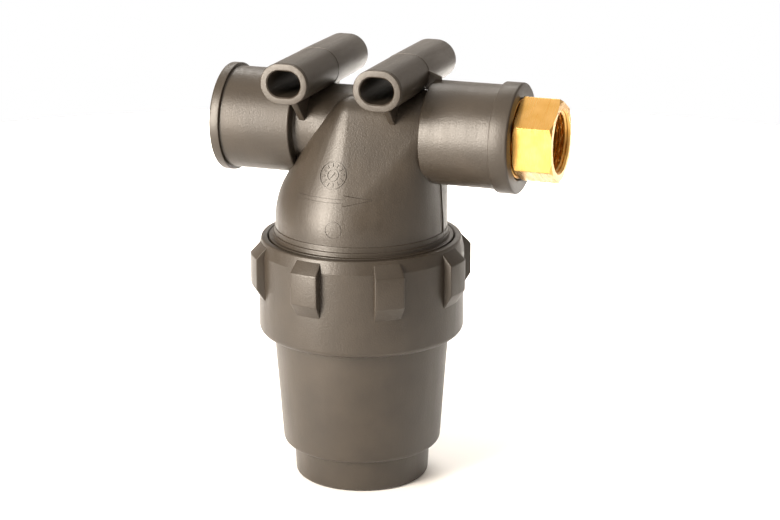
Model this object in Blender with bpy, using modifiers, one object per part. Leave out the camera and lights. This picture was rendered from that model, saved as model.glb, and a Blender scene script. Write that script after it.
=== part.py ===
"""Inline mesh filter: a moulded head with two ports, a screw-on bowl and a mesh cartridge.

The origin is the centre of the bowl's underside, +Z is the bowl's axis and +X is the way the water flows.
"""

import math

import bmesh
import bpy
from mathutils import Matrix, Vector

MM = 0.001

# Fits
GAP = 0.3 * MM
NOSE_CLEARANCE = 0.4 * MM

# How finely round shapes are divided
ROUND_STEPS = 44
SMALL_STEPS = 32
INNER_STEPS = 24
SEAL_STEPS = 6
EDGE_POINTS = 4
CORNER_POINTS = 5
PIPE_RESOLUTION = 6
SHARP_ANGLE = math.radians(32)

# What keeps the edges of joined shapes from lying on each other
WELD = 0.001 * MM
SEAM_STEP = 0.15 * MM
FLAT_ANGLE = math.radians(0.1)
POCKET_TURN = math.radians(1.0)
BORE_TURN = math.radians(2.0)
FLANGE_TURN = math.radians(4.0)

# Bowl, from its underside up
FOOT_RADIUS = 30.4 * MM
FOOT_DRAFT = 0.8 * MM
FOOT_HEIGHT = 15.2 * MM
FOOT_EDGE = 2.0 * MM
BOWL_HEIGHT = 51.8 * MM
BOWL_BOTTOM_RADIUS = 34.9 * MM
BOWL_TOP_RADIUS = 38.7 * MM
BOWL_CORNER = 3.0 * MM
BOWL_WALL = 3.4 * MM
FLOOR_THICKNESS = 4.5 * MM
COLLAR_HEIGHT = 43.0 * MM
COLLAR_RADIUS = 45.1 * MM
SHOULDER_ROUNDING = 6.3 * MM
RIM_BAND_HEIGHT = 5.7 * MM
RIM_BAND_SLOPE = 1.4 * MM
RIM_CHAMFER = 0.9 * MM

# Grip lugs round the collar
LUG_COUNT = 8
LUG_START_ANGLE = math.radians(-10.3)
LUG_ANGLE = math.radians(15.3)
LUG_PROUD = 3.7 * MM
LUG_TOP_BELOW_RIM = 1.2 * MM
LUG_TOP_SLOPE = 5.2 * MM
LUG_FACE_HEIGHT = 13.6 * MM
LUG_BOTTOM_SLOPE = 6.4 * MM
LUG_ROOT = 2.0 * MM
LUG_STEPS = 3

# Screw joint between bowl and head
THREAD_RADIUS = 40.2 * MM
THREAD_LENGTH = 12.0 * MM
FLANGE_RADIUS = 40.4 * MM
FLANGE_THICKNESS = 2.0 * MM
FLANGE_ABOVE_RIM = 0.2 * MM
STEP_RING_RADIUS = 38.7 * MM
STEP_RING_HEIGHT = 1.8 * MM
BASE_RING_PROUD = 0.35 * MM
BASE_RING_HEIGHT = 2.4 * MM
RELIEF_DEPTH = 1.8 * MM
RELIEF_LENGTH = 9.0 * MM
NOSE_BELOW_THREAD = 3.2 * MM
NOSE_LENGTH = 11.0 * MM
NOSE_WALL = 5.1 * MM
NOSE_CHAMFER = 1.0 * MM

# Bowl seal
SEAL_SECTION = 2.8 * MM
SEAL_GROOVE_WIDTH = 3.6 * MM
SEAL_GROOVE_CENTRE = 5.6 * MM

# Head, a hull over two spheres
HEAD_RADIUS = 37.6 * MM
HEAD_WALL = 3.6 * MM
HEAD_CROWN_ABOVE_RIM = 7.2 * MM
ELBOW_RADIUS = 21.5 * MM
ELBOW_OFFSET = 13.1 * MM
PORT_ABOVE_RIM = 48.3 * MM

# Port sleeves
SLEEVE_RADIUS = 22.2 * MM
RING_RADIUS = 23.6 * MM
INLET_END = 61.3 * MM
INLET_SLEEVE_LENGTH = 36.3 * MM
INLET_RING_WIDTH = 4.4 * MM
NECK_RADIUS = 17.4 * MM
NECK_REACH = 8.0 * MM
OUTLET_END = 72.3 * MM
OUTLET_SLEEVE_LENGTH = 39.1 * MM
OUTLET_RING_WIDTH = 8.1 * MM
BORE_RADIUS = 12.0 * MM

# Water duct inside the head, with the spigot that holds the cartridge
DUCT_WALL = 3.6 * MM
DUCT_BEND = 25.0 * MM
DUCT_BEND_POINTS = 8
SPIGOT_BELOW_RIM = 12.0 * MM
SPIGOT_FLANGE_BELOW_RIM = 6.0 * MM
SPIGOT_FLANGE_RADIUS = 19.5 * MM
SPIGOT_FLANGE_THICKNESS = 4.0 * MM

# Brass inserts and hexagonal outlet adapter
INSERT_RADIUS = 16.9 * MM
INSERT_LENGTH = 17.8 * MM
INSERT_BORE_RADIUS = 13.2 * MM
INSERT_CHAMFER = 0.9 * MM
INSERT_GROOVE_DEPTH = 1.0 * MM
INSERT_GROOVE_WIDTH = 3.0 * MM
HEX_ACROSS_FLATS = 32.0 * MM
HEX_LENGTH = 16.9 * MM
HEX_CHAMFER_RADIUS = 16.8 * MM
HEX_CHAMFER_ANGLE = math.radians(30)
HEX_TURN = math.radians(33.0)
SOCKET_RADIUS = 12.7 * MM
SOCKET_MOUTH = 0.7 * MM
SOCKET_DEPTH = 13.0 * MM
SHANK_LENGTH = 14.0 * MM
SHANK_WALL = 3.0 * MM
SHANK_CHAMFER = 1.0 * MM

# Mounting tubes across the top of the ports
TUBE_FLAT = 3.6 * MM
TUBE_HEIGHT = 17.8 * MM
TUBE_WALL = 3.3 * MM
TUBE_FLOOR = 2.5 * MM
TUBE_LENGTH = 74.0 * MM
TUBE_ABOVE_PORT = 24.0 * MM
TUBE_SPACING = 41.2 * MM
TUBE_ARC_POINTS = 10
GUSSET_THICKNESS = 3.0 * MM
GUSSET_REACH = 29.0 * MM
GUSSET_FOOT = 16.5 * MM
GUSSET_DEPTH = 20.0 * MM
FIN_THICKNESS = 1.6 * MM
FIN_LENGTH = 7.0 * MM
FIN_HEIGHT = 6.0 * MM

# Cartridge
CAP_RADIUS = 24.5 * MM
CAP_PLATE = 4.0 * MM
CAP_LIP = 4.0 * MM
CAP_LIP_WALL = 1.2 * MM
GASKET_WIDTH = 4.0 * MM
GASKET_THICKNESS = 2.2 * MM
MESH_WALL = 0.5 * MM
MESH_COLUMNS = 16
MESH_ROWS = 3
MESH_BAR = 0.8 * MM
MESH_WINDOW_STEPS = 2
CAGE_WALL = 1.8 * MM
CAGE_COLUMNS = 8
CAGE_ROWS = 3
CAGE_BAR = 2.4 * MM
CAGE_WINDOW_STEPS = 3
HUB_RADIUS = 9.7 * MM
HUB_LENGTH = 3.6 * MM
SEAT_WALL = 3.0 * MM
SEAT_HEIGHT = 4.2 * MM

# Heights that follow from the sizes above
JUNCTION_Z = FOOT_HEIGHT + BOWL_HEIGHT
RIM_Z = JUNCTION_Z + COLLAR_HEIGHT
PORT_Z = RIM_Z + PORT_ABOVE_RIM
CROWN_Z = RIM_Z + HEAD_CROWN_ABOVE_RIM
TUBE_Z = PORT_Z + TUBE_ABOVE_PORT
FLANGE_TOP_Z = RIM_Z + FLANGE_ABOVE_RIM
THREAD_TOP_Z = FLANGE_TOP_Z - FLANGE_THICKNESS
THREAD_BOTTOM_Z = THREAD_TOP_Z - THREAD_LENGTH
RELIEF_BOTTOM_Z = THREAD_BOTTOM_Z - RELIEF_LENGTH
NOSE_BOTTOM_Z = RELIEF_BOTTOM_Z - NOSE_LENGTH
SEAL_Z = RELIEF_BOTTOM_Z - SEAL_GROOVE_CENTRE
TUBE_WIDTH = TUBE_HEIGHT + TUBE_FLAT
LUG_OUTER_RADIUS = COLLAR_RADIUS + LUG_PROUD
NOSE_RADIUS = THREAD_RADIUS - NOSE_BELOW_THREAD
CHAMBER_RADIUS = HEAD_RADIUS - HEAD_WALL
SLOT_ABOVE_PORT = TUBE_ABOVE_PORT - TUBE_HEIGHT / 2 + TUBE_WALL
CHAMBER_ELBOW_RADIUS = min(ELBOW_RADIUS - HEAD_WALL, SLOT_ABOVE_PORT - TUBE_FLOOR)
DUCT_RADIUS = BORE_RADIUS + DUCT_WALL
SPIGOT_Z = RIM_Z - SPIGOT_BELOW_RIM
SPIGOT_FLANGE_Z = RIM_Z - SPIGOT_FLANGE_BELOW_RIM
HOUSING_RADIUS = INSERT_RADIUS + GAP
NOSE_BORE = NOSE_RADIUS + NOSE_CLEARANCE
SEAL_RADIUS = NOSE_BORE - GAP - SEAL_SECTION / 2
SEAT_TOP_Z = FLOOR_THICKNESS + SEAT_HEIGHT
CAP_BOTTOM_Z = SEAT_TOP_Z + GAP
GASKET_TOP_Z = SPIGOT_FLANGE_Z - GAP
CAP_TOP_Z = GASKET_TOP_Z - GASKET_THICKNESS - GAP
SCREEN_BOTTOM_Z = CAP_BOTTOM_Z + CAP_PLATE + GAP
SCREEN_TOP_Z = CAP_TOP_Z - CAP_PLATE - GAP
MESH_RADIUS = CAP_RADIUS - CAP_LIP_WALL - GAP
CAGE_RADIUS = MESH_RADIUS - MESH_WALL - GAP
CAP_INNER_LIP_RADIUS = CAGE_RADIUS - CAGE_WALL - GAP
CAP_BORE = DUCT_RADIUS + GAP

PORT_FRAME = Matrix.Translation((0, 0, PORT_Z)) @ Matrix.Rotation(math.pi / 2, 4, "Y")


def clear_scene():
    """Removes whatever the file holds."""
    for item in list(bpy.data.objects):
        bpy.data.objects.remove(item, do_unlink=True)


def make_collection(name):
    collection = bpy.data.collections.new(name)
    bpy.context.scene.collection.children.link(collection)
    return collection


def make_material(name, colour, roughness, metallic=0.0):
    material = bpy.data.materials.new(name)
    material.use_nodes = True
    shader = material.node_tree.nodes["Principled BSDF"]
    shader.inputs["Base Color"].default_value = (*colour, 1.0)
    shader.inputs["Roughness"].default_value = roughness
    shader.inputs["Metallic"].default_value = metallic
    return material


def add_object(name, mesh, collection, frame=Matrix.Identity(4)):
    item = bpy.data.objects.new(name, mesh)
    item.matrix_world = frame
    collection.objects.link(item)
    return item


def as_guide(item):
    """Marks an object as a cutter or building block that isn't a piece itself."""
    item.hide_render = True
    item.display_type = "WIRE"
    return item


def turned(name, profile, collection, steps=ROUND_STEPS, closed=False, frame=Matrix.Identity(4), turn=0.0):
    """A profile of (radius, height) points turned about its local Z axis.

    The turn sets where the facets begin, so that the edges of two joined shapes don't lie on each other.
    """
    mesh = bpy.data.meshes.new(name)
    points = [(radius, 0.0, height) for radius, height in profile]
    edges = [(i, i + 1) for i in range(len(points) - 1)]
    if closed:
        edges.append((len(points) - 1, 0))
    mesh.from_pydata(points, edges, [])
    item = add_object(name, mesh, collection, frame @ Matrix.Rotation(turn, 4, "Z"))
    screw = item.modifiers.new("Turn", "SCREW")
    screw.axis = "Z"
    screw.steps = steps
    screw.render_steps = steps
    screw.use_merge_vertices = True
    screw.merge_threshold = WELD
    screw.use_smooth_shade = True
    return item


def arc(centre, radius, start, end, points):
    """Points along an arc, with angles in degrees from the profile's outward axis."""
    angles = [math.radians(start + (end - start) * i / (points - 1)) for i in range(points)]
    return [(centre[0] + radius * math.cos(a), centre[1] + radius * math.sin(a)) for a in angles]


def prism(name, outline, thickness, collection, frame):
    """A flat outline in its local XY plane, thickened evenly to both sides of it."""
    curve = bpy.data.curves.new(name, "CURVE")
    curve.dimensions = "2D"
    curve.fill_mode = "BOTH"
    curve.extrude = thickness / 2
    spline = curve.splines.new("POLY")
    spline.points.add(len(outline) - 1)
    for point, place in zip(spline.points, outline):
        point.co = (place[0], place[1], 0.0, 1.0)
    spline.use_cyclic_u = True
    return curve_to_mesh(name, curve, collection, frame)


def pipe(name, path, radius, collection):
    """A round bar along a path, closed at both ends."""
    curve = bpy.data.curves.new(name, "CURVE")
    curve.dimensions = "3D"
    curve.bevel_depth = radius
    curve.bevel_resolution = PIPE_RESOLUTION
    curve.use_fill_caps = True
    spline = curve.splines.new("POLY")
    spline.points.add(len(path) - 1)
    for point, place in zip(spline.points, path):
        point.co = (*place, 1.0)
    return curve_to_mesh(name, curve, collection, Matrix.Identity(4))


def curve_to_mesh(name, curve, collection, frame):
    """Turns a curve into a welded mesh, so that it can be joined to other shapes."""
    source = add_object(name + "_curve", curve, collection, frame)
    evaluated = source.evaluated_get(bpy.context.evaluated_depsgraph_get())
    mesh = bpy.data.meshes.new_from_object(evaluated)
    mesh.name = name
    welded = bmesh.new()
    welded.from_mesh(mesh)
    bmesh.ops.remove_doubles(welded, verts=welded.verts, dist=WELD)
    bmesh.ops.recalc_face_normals(welded, faces=welded.faces)
    welded.to_mesh(mesh)
    welded.free()
    item = add_object(name, mesh, collection, source.matrix_world.copy())
    bpy.data.objects.remove(source, do_unlink=True)
    return item


def combine(item, operation, *others):
    """Joins shapes to an object, or cuts them from it, in the order given."""
    for other in others:
        as_guide(other)
        step = item.modifiers.new(f"{operation.title()} {other.name}", "BOOLEAN")
        step.operation = operation
        step.solver = "EXACT"
        step.object = other
    return item


def finish(item, material):
    """Gives a piece its material and its smooth shading."""
    item.data.materials.clear()
    item.data.materials.append(material)
    if len(item.data.polygons):
        item.data.shade_smooth()
        item.data.set_sharp_from_angle(angle=SHARP_ANGLE)
    return item


def hull_of_spheres(name, base_radius, elbow_radius, base_z, steps, collection):
    """The skin stretched over the crown sphere, the elbow sphere and a round base below them."""
    facet_turn = Matrix.Rotation(math.pi / steps, 4, "Z")
    source = bmesh.new()
    for radius, place in ((base_radius, (0, 0, CROWN_Z)), (elbow_radius, (ELBOW_OFFSET, 0, PORT_Z))):
        bmesh.ops.create_uvsphere(
            source,
            u_segments=steps,
            v_segments=steps // 2,
            radius=radius,
            matrix=Matrix.Translation(place) @ facet_turn,
        )
    bmesh.ops.create_circle(
        source,
        segments=steps,
        radius=base_radius,
        matrix=Matrix.Translation((0, 0, base_z)) @ facet_turn,
    )
    hull = bmesh.new()
    points = [hull.verts.new(vert.co) for vert in source.verts]
    source.free()
    bmesh.ops.convex_hull(hull, input=points)
    inside = [vert for vert in hull.verts if not vert.link_faces]
    bmesh.ops.delete(hull, geom=inside, context="VERTS")
    bmesh.ops.dissolve_limit(hull, angle_limit=FLAT_ANGLE, verts=hull.verts, edges=hull.edges)
    bmesh.ops.recalc_face_normals(hull, faces=hull.faces)
    mesh = bpy.data.meshes.new(name)
    hull.to_mesh(mesh)
    hull.free()
    return add_object(name, mesh, collection)


def stadium(width, height):
    """An outline with straight top and bottom and half-round ends."""
    radius = height / 2
    reach = width / 2 - radius
    right = arc((reach, 0.0), radius, -90, 90, TUBE_ARC_POINTS)
    left = arc((-reach, 0.0), radius, 90, 270, TUBE_ARC_POINTS)
    return right + left


def duct_path(lower_end, outer_end):
    """Up from the cartridge, round one bend, and out along the port."""
    path = [(0.0, 0.0, lower_end)]
    for i in range(DUCT_BEND_POINTS + 1):
        angle = math.pi - math.pi / 2 * i / DUCT_BEND_POINTS
        x = DUCT_BEND + DUCT_BEND * math.cos(angle)
        z = PORT_Z - DUCT_BEND + DUCT_BEND * math.sin(angle)
        path.append((x, 0.0, z))
    path.append((outer_end, 0.0, PORT_Z))
    return path


def make_skirt(blocks):
    """The head's lower end: stepped flange, thread, relief and sealing nose, as one turned block."""
    step_top = FLANGE_TOP_Z + STEP_RING_HEIGHT
    base_top = step_top + BASE_RING_HEIGHT
    base_radius = HEAD_RADIUS + BASE_RING_PROUD
    relief_radius = THREAD_RADIUS - RELIEF_DEPTH
    groove_bottom = SEAL_RADIUS - SEAL_SECTION / 2 - GAP
    half_groove = SEAL_GROOVE_WIDTH / 2
    profile = [
        (0.0, base_top),
        (base_radius, base_top),
        (base_radius, step_top + BASE_RING_PROUD),
        (STEP_RING_RADIUS, step_top),
        (STEP_RING_RADIUS, FLANGE_TOP_Z + BASE_RING_PROUD),
        (FLANGE_RADIUS, FLANGE_TOP_Z),
        (FLANGE_RADIUS, THREAD_TOP_Z),
        (THREAD_RADIUS, THREAD_TOP_Z - BASE_RING_PROUD),
        (THREAD_RADIUS, THREAD_BOTTOM_Z),
        (relief_radius, THREAD_BOTTOM_Z - RELIEF_DEPTH),
        (relief_radius, RELIEF_BOTTOM_Z + relief_radius - NOSE_RADIUS),
        (NOSE_RADIUS, RELIEF_BOTTOM_Z),
        (NOSE_RADIUS, SEAL_Z + half_groove),
        (groove_bottom, SEAL_Z + half_groove),
        (groove_bottom, SEAL_Z - half_groove),
        (NOSE_RADIUS, SEAL_Z - half_groove),
        (NOSE_RADIUS, NOSE_BOTTOM_Z + NOSE_CHAMFER),
        (NOSE_RADIUS - NOSE_CHAMFER, NOSE_BOTTOM_Z),
        (0.0, NOSE_BOTTOM_Z),
    ]
    return turned("head_skirt_block", profile, blocks)


def make_ports(blocks):
    """The two port sleeves with their end rings, turned about the port axis."""
    inlet_ring = -INLET_END + INLET_RING_WIDTH
    inlet_sleeve = -INLET_END + INLET_SLEEVE_LENGTH
    inlet = [
        (0.0, NECK_REACH),
        (NECK_RADIUS, NECK_REACH),
        (NECK_RADIUS, inlet_sleeve),
        (SLEEVE_RADIUS, inlet_sleeve),
        (SLEEVE_RADIUS, inlet_ring),
        (RING_RADIUS, inlet_ring),
        (RING_RADIUS, -INLET_END),
        (0.0, -INLET_END),
    ]
    outlet_sleeve = OUTLET_END - OUTLET_SLEEVE_LENGTH
    outlet_ring = OUTLET_END - OUTLET_RING_WIDTH
    outlet = [
        (0.0, OUTLET_END),
        (RING_RADIUS, OUTLET_END),
        (RING_RADIUS, outlet_ring),
        (SLEEVE_RADIUS, outlet_ring),
        (SLEEVE_RADIUS, outlet_sleeve),
        (ELBOW_RADIUS - SEAM_STEP, outlet_sleeve),
        (ELBOW_RADIUS - SEAM_STEP, ELBOW_OFFSET),
        (0.0, ELBOW_OFFSET),
    ]
    return [
        turned("inlet_sleeve_block", inlet, blocks, frame=PORT_FRAME),
        turned("outlet_sleeve_block", outlet, blocks, frame=PORT_FRAME),
    ]


def make_tubes(blocks):
    """The mounting tubes, their gussets down to the ports and the fins in the parting plane."""
    solids = []
    slots = []
    for side, away in (("inlet", -1), ("outlet", 1)):
        x = away * TUBE_SPACING / 2
        across = Matrix.Translation((x, 0, TUBE_Z)) @ Matrix.Rotation(math.pi / 2, 4, "X")
        solids.append(prism(f"{side}_tube_block", stadium(TUBE_WIDTH, TUBE_HEIGHT), TUBE_LENGTH, blocks, across))
        hollow = stadium(TUBE_WIDTH - 2 * TUBE_WALL, TUBE_HEIGHT - 2 * TUBE_WALL)
        slots.append(prism(f"{side}_slot_cutter", hollow, TUBE_LENGTH + TUBE_HEIGHT, blocks, across))
        gusset = [
            (-GUSSET_REACH, TUBE_HEIGHT / -2 + TUBE_WALL / 2),
            (-GUSSET_FOOT, -GUSSET_DEPTH),
            (GUSSET_FOOT, -GUSSET_DEPTH),
            (GUSSET_REACH, TUBE_HEIGHT / -2 + TUBE_WALL / 2),
        ]
        along = Matrix.Translation((x, 0, TUBE_Z)) @ Matrix.Rotation(math.pi / 2, 4, "Z")
        upright = along @ Matrix.Rotation(math.pi / 2, 4, "X")
        solids.append(prism(f"{side}_gusset_block", gusset, GUSSET_THICKNESS, blocks, upright))
        flank = away * (TUBE_WIDTH / 2 - TUBE_WALL / 2)
        fin = [
            (flank, FIN_HEIGHT / 2),
            (flank, -FIN_HEIGHT),
            (flank + away * FIN_LENGTH, -FIN_HEIGHT),
            (flank + away * FIN_LENGTH, 0.0),
        ]
        solids.append(prism(f"{side}_fin_block", fin, FIN_THICKNESS, blocks, across))
    return solids, slots


def make_head(pieces, blocks, plastic):
    """One moulding: domed body, ports, mounting tubes, threaded skirt and inner duct."""
    head = hull_of_spheres("head", HEAD_RADIUS, ELBOW_RADIUS, THREAD_TOP_Z, ROUND_STEPS, pieces)
    tubes, slots = make_tubes(blocks)
    combine(head, "UNION", make_skirt(blocks), *make_ports(blocks), *tubes)
    chamber = hull_of_spheres(
        "chamber_cutter",
        CHAMBER_RADIUS,
        CHAMBER_ELBOW_RADIUS,
        THREAD_BOTTOM_Z,
        INNER_STEPS,
        blocks,
    )
    nose_bore = turned(
        "nose_cutter",
        [
            (0.0, THREAD_BOTTOM_Z + NOSE_WALL),
            (NOSE_RADIUS - NOSE_WALL, THREAD_BOTTOM_Z + NOSE_WALL),
            (NOSE_RADIUS - NOSE_WALL, 0.0),
            (0.0, 0.0),
        ],
        blocks,
        turn=POCKET_TURN,
    )
    inlet_bore = turned(
        "inlet_bore_cutter",
        [(0.0, 0.0), (BORE_RADIUS, 0.0), (BORE_RADIUS, -2 * INLET_END), (0.0, -2 * INLET_END)],
        blocks,
        steps=SMALL_STEPS,
        frame=PORT_FRAME,
        turn=BORE_TURN,
    )
    combine(head, "DIFFERENCE", chamber, nose_bore, inlet_bore)
    duct = pipe("duct_block", duct_path(SPIGOT_Z, OUTLET_END / 2), DUCT_RADIUS, blocks)
    flange = turned(
        "spigot_flange_block",
        [
            (BORE_RADIUS + GAP, SPIGOT_FLANGE_Z + SPIGOT_FLANGE_THICKNESS),
            (SPIGOT_FLANGE_RADIUS, SPIGOT_FLANGE_Z + SPIGOT_FLANGE_THICKNESS),
            (SPIGOT_FLANGE_RADIUS, SPIGOT_FLANGE_Z),
            (BORE_RADIUS + GAP, SPIGOT_FLANGE_Z),
        ],
        blocks,
        steps=SMALL_STEPS,
        closed=True,
        turn=FLANGE_TURN,
    )
    combine(head, "UNION", duct, flange)
    outlet_bore = pipe("outlet_bore_cutter", duct_path(NOSE_BOTTOM_Z, 2 * OUTLET_END), BORE_RADIUS, blocks)
    pocket_length = INSERT_LENGTH + 2 * GAP
    pockets = [
        turned(
            f"{side}_pocket_cutter",
            [(0.0, top), (HOUSING_RADIUS, top), (HOUSING_RADIUS, bottom), (0.0, bottom)],
            blocks,
            steps=SMALL_STEPS,
            frame=PORT_FRAME,
            turn=POCKET_TURN,
        )
        for side, top, bottom in (
            ("inlet", -INLET_END + pocket_length, -2 * INLET_END),
            ("outlet", 2 * OUTLET_END, OUTLET_END - pocket_length),
        )
    ]
    combine(head, "DIFFERENCE", outlet_bore, *pockets, *slots)
    return finish(head, plastic)


def make_lug(blocks, index):
    """A grip lug: its section swept a few degrees about the bowl's axis, so its sides are radial."""
    root = COLLAR_RADIUS - RIM_BAND_SLOPE - LUG_ROOT
    top = RIM_Z - LUG_TOP_BELOW_RIM
    section = [
        (root, top),
        (COLLAR_RADIUS - RIM_BAND_SLOPE, top),
        (LUG_OUTER_RADIUS, top - LUG_TOP_SLOPE),
        (LUG_OUTER_RADIUS, top - LUG_TOP_SLOPE - LUG_FACE_HEIGHT),
        (COLLAR_RADIUS - GAP, top - LUG_TOP_SLOPE - LUG_FACE_HEIGHT - LUG_BOTTOM_SLOPE),
        (root, top - LUG_TOP_SLOPE - LUG_FACE_HEIGHT - LUG_BOTTOM_SLOPE),
    ]
    middle = LUG_START_ANGLE + 2 * math.pi * index / LUG_COUNT
    start = Matrix.Rotation(middle - LUG_ANGLE / 2, 3, "Z")
    shape = bmesh.new()
    corners = [shape.verts.new(start @ Vector((radius, 0.0, height))) for radius, height in section]
    face = shape.faces.new(corners)
    bmesh.ops.spin(
        shape,
        geom=[face] + list(face.edges) + corners,
        cent=(0, 0, 0),
        axis=(0, 0, 1),
        angle=LUG_ANGLE,
        steps=LUG_STEPS,
        use_duplicate=False,
    )
    bmesh.ops.recalc_face_normals(shape, faces=shape.faces)
    mesh = bpy.data.meshes.new(f"lug_block_{index + 1}")
    shape.to_mesh(mesh)
    shape.free()
    return add_object(mesh.name, mesh, blocks)


def make_bowl(pieces, blocks, plastic):
    """One moulding: tapered cup on a foot, with a thick collar and grip lugs."""
    inner_bottom = BOWL_BOTTOM_RADIUS - BOWL_WALL
    inner_top = BOWL_TOP_RADIUS - BOWL_WALL
    foot_inner = FOOT_RADIUS - BOWL_WALL
    hub_bore = HUB_RADIUS + GAP
    thread_bore = THREAD_RADIUS + GAP
    flange_bore = FLANGE_RADIUS + GAP
    inside = [
        (0.0, FLOOR_THICKNESS),
        (hub_bore, FLOOR_THICKNESS),
        (hub_bore, SEAT_TOP_Z),
        (hub_bore + SEAT_WALL, SEAT_TOP_Z),
        (hub_bore + SEAT_WALL, FLOOR_THICKNESS),
        (foot_inner - FOOT_DRAFT, FLOOR_THICKNESS),
        (foot_inner, FOOT_HEIGHT),
        (inner_bottom, FOOT_HEIGHT + BOWL_WALL),
        (inner_top, JUNCTION_Z + BOWL_WALL),
        (NOSE_BORE, JUNCTION_Z + BOWL_WALL + NOSE_BORE - inner_top),
        (NOSE_BORE, RELIEF_BOTTOM_Z - GAP),
        (thread_bore, RELIEF_BOTTOM_Z - GAP + thread_bore - NOSE_BORE),
        (thread_bore, THREAD_TOP_Z - BASE_RING_PROUD - GAP),
        (flange_bore, THREAD_TOP_Z - GAP),
        (flange_bore, RIM_Z - RIM_CHAMFER),
    ]
    rim_corner = (COLLAR_RADIUS - RIM_BAND_SLOPE - RIM_CHAMFER, RIM_Z - RIM_CHAMFER)
    shoulder_centre = (COLLAR_RADIUS - SHOULDER_ROUNDING, JUNCTION_Z + SHOULDER_ROUNDING)
    corner_centre = (BOWL_BOTTOM_RADIUS - BOWL_CORNER, FOOT_HEIGHT + BOWL_CORNER)
    foot_centre = (FOOT_RADIUS - FOOT_DRAFT - FOOT_EDGE, FOOT_EDGE)
    outside = [(flange_bore + RIM_CHAMFER, RIM_Z)]
    outside += arc(rim_corner, RIM_CHAMFER, 90, 0, EDGE_POINTS)
    outside += [(COLLAR_RADIUS, RIM_Z - RIM_BAND_HEIGHT)]
    outside += arc(shoulder_centre, SHOULDER_ROUNDING, 0, -90, CORNER_POINTS)
    outside += [(BOWL_TOP_RADIUS, JUNCTION_Z - GAP)]
    outside += arc(corner_centre, BOWL_CORNER, 0, -90, CORNER_POINTS)
    outside += [(FOOT_RADIUS, FOOT_HEIGHT)]
    outside += arc(foot_centre, FOOT_EDGE, 0, -90, CORNER_POINTS)
    bowl = turned("bowl", inside + outside + [(0.0, 0.0)], pieces)
    combine(bowl, "UNION", *[make_lug(blocks, index) for index in range(LUG_COUNT)])
    return finish(bowl, plastic)


def make_seal(pieces, rubber):
    """The bowl's sealing ring, in the groove round the head's nose."""
    bpy.ops.mesh.primitive_torus_add(
        major_segments=ROUND_STEPS,
        minor_segments=SEAL_STEPS,
        major_radius=SEAL_RADIUS,
        minor_radius=SEAL_SECTION / 2,
        location=(0, 0, SEAL_Z),
    )
    seal = bpy.context.active_object
    seal.name = "bowl_seal"
    seal.data.name = "bowl_seal"
    for holder in list(seal.users_collection):
        holder.objects.unlink(seal)
    pieces.objects.link(seal)
    return finish(seal, rubber)


def make_insert(name, outer_end, inner_end, pieces, brass):
    """A brass bush moulded into a sleeve, with one groove that locks it in the plastic."""
    middle = (outer_end + inner_end) / 2
    half_groove = INSERT_GROOVE_WIDTH / 2
    groove_radius = INSERT_RADIUS - INSERT_GROOVE_DEPTH
    high = max(outer_end, inner_end)
    low = min(outer_end, inner_end)
    profile = [
        (INSERT_BORE_RADIUS, high - INSERT_CHAMFER),
        (INSERT_BORE_RADIUS + INSERT_CHAMFER, high),
        (INSERT_RADIUS, high),
        (INSERT_RADIUS, middle + half_groove),
        (groove_radius, middle + half_groove),
        (groove_radius, middle - half_groove),
        (INSERT_RADIUS, middle - half_groove),
        (INSERT_RADIUS, low),
        (INSERT_BORE_RADIUS + INSERT_CHAMFER, low),
        (INSERT_BORE_RADIUS, low + INSERT_CHAMFER),
    ]
    insert = turned(name, profile, pieces, steps=INNER_STEPS, closed=True, frame=PORT_FRAME)
    return finish(insert, brass)


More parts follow.
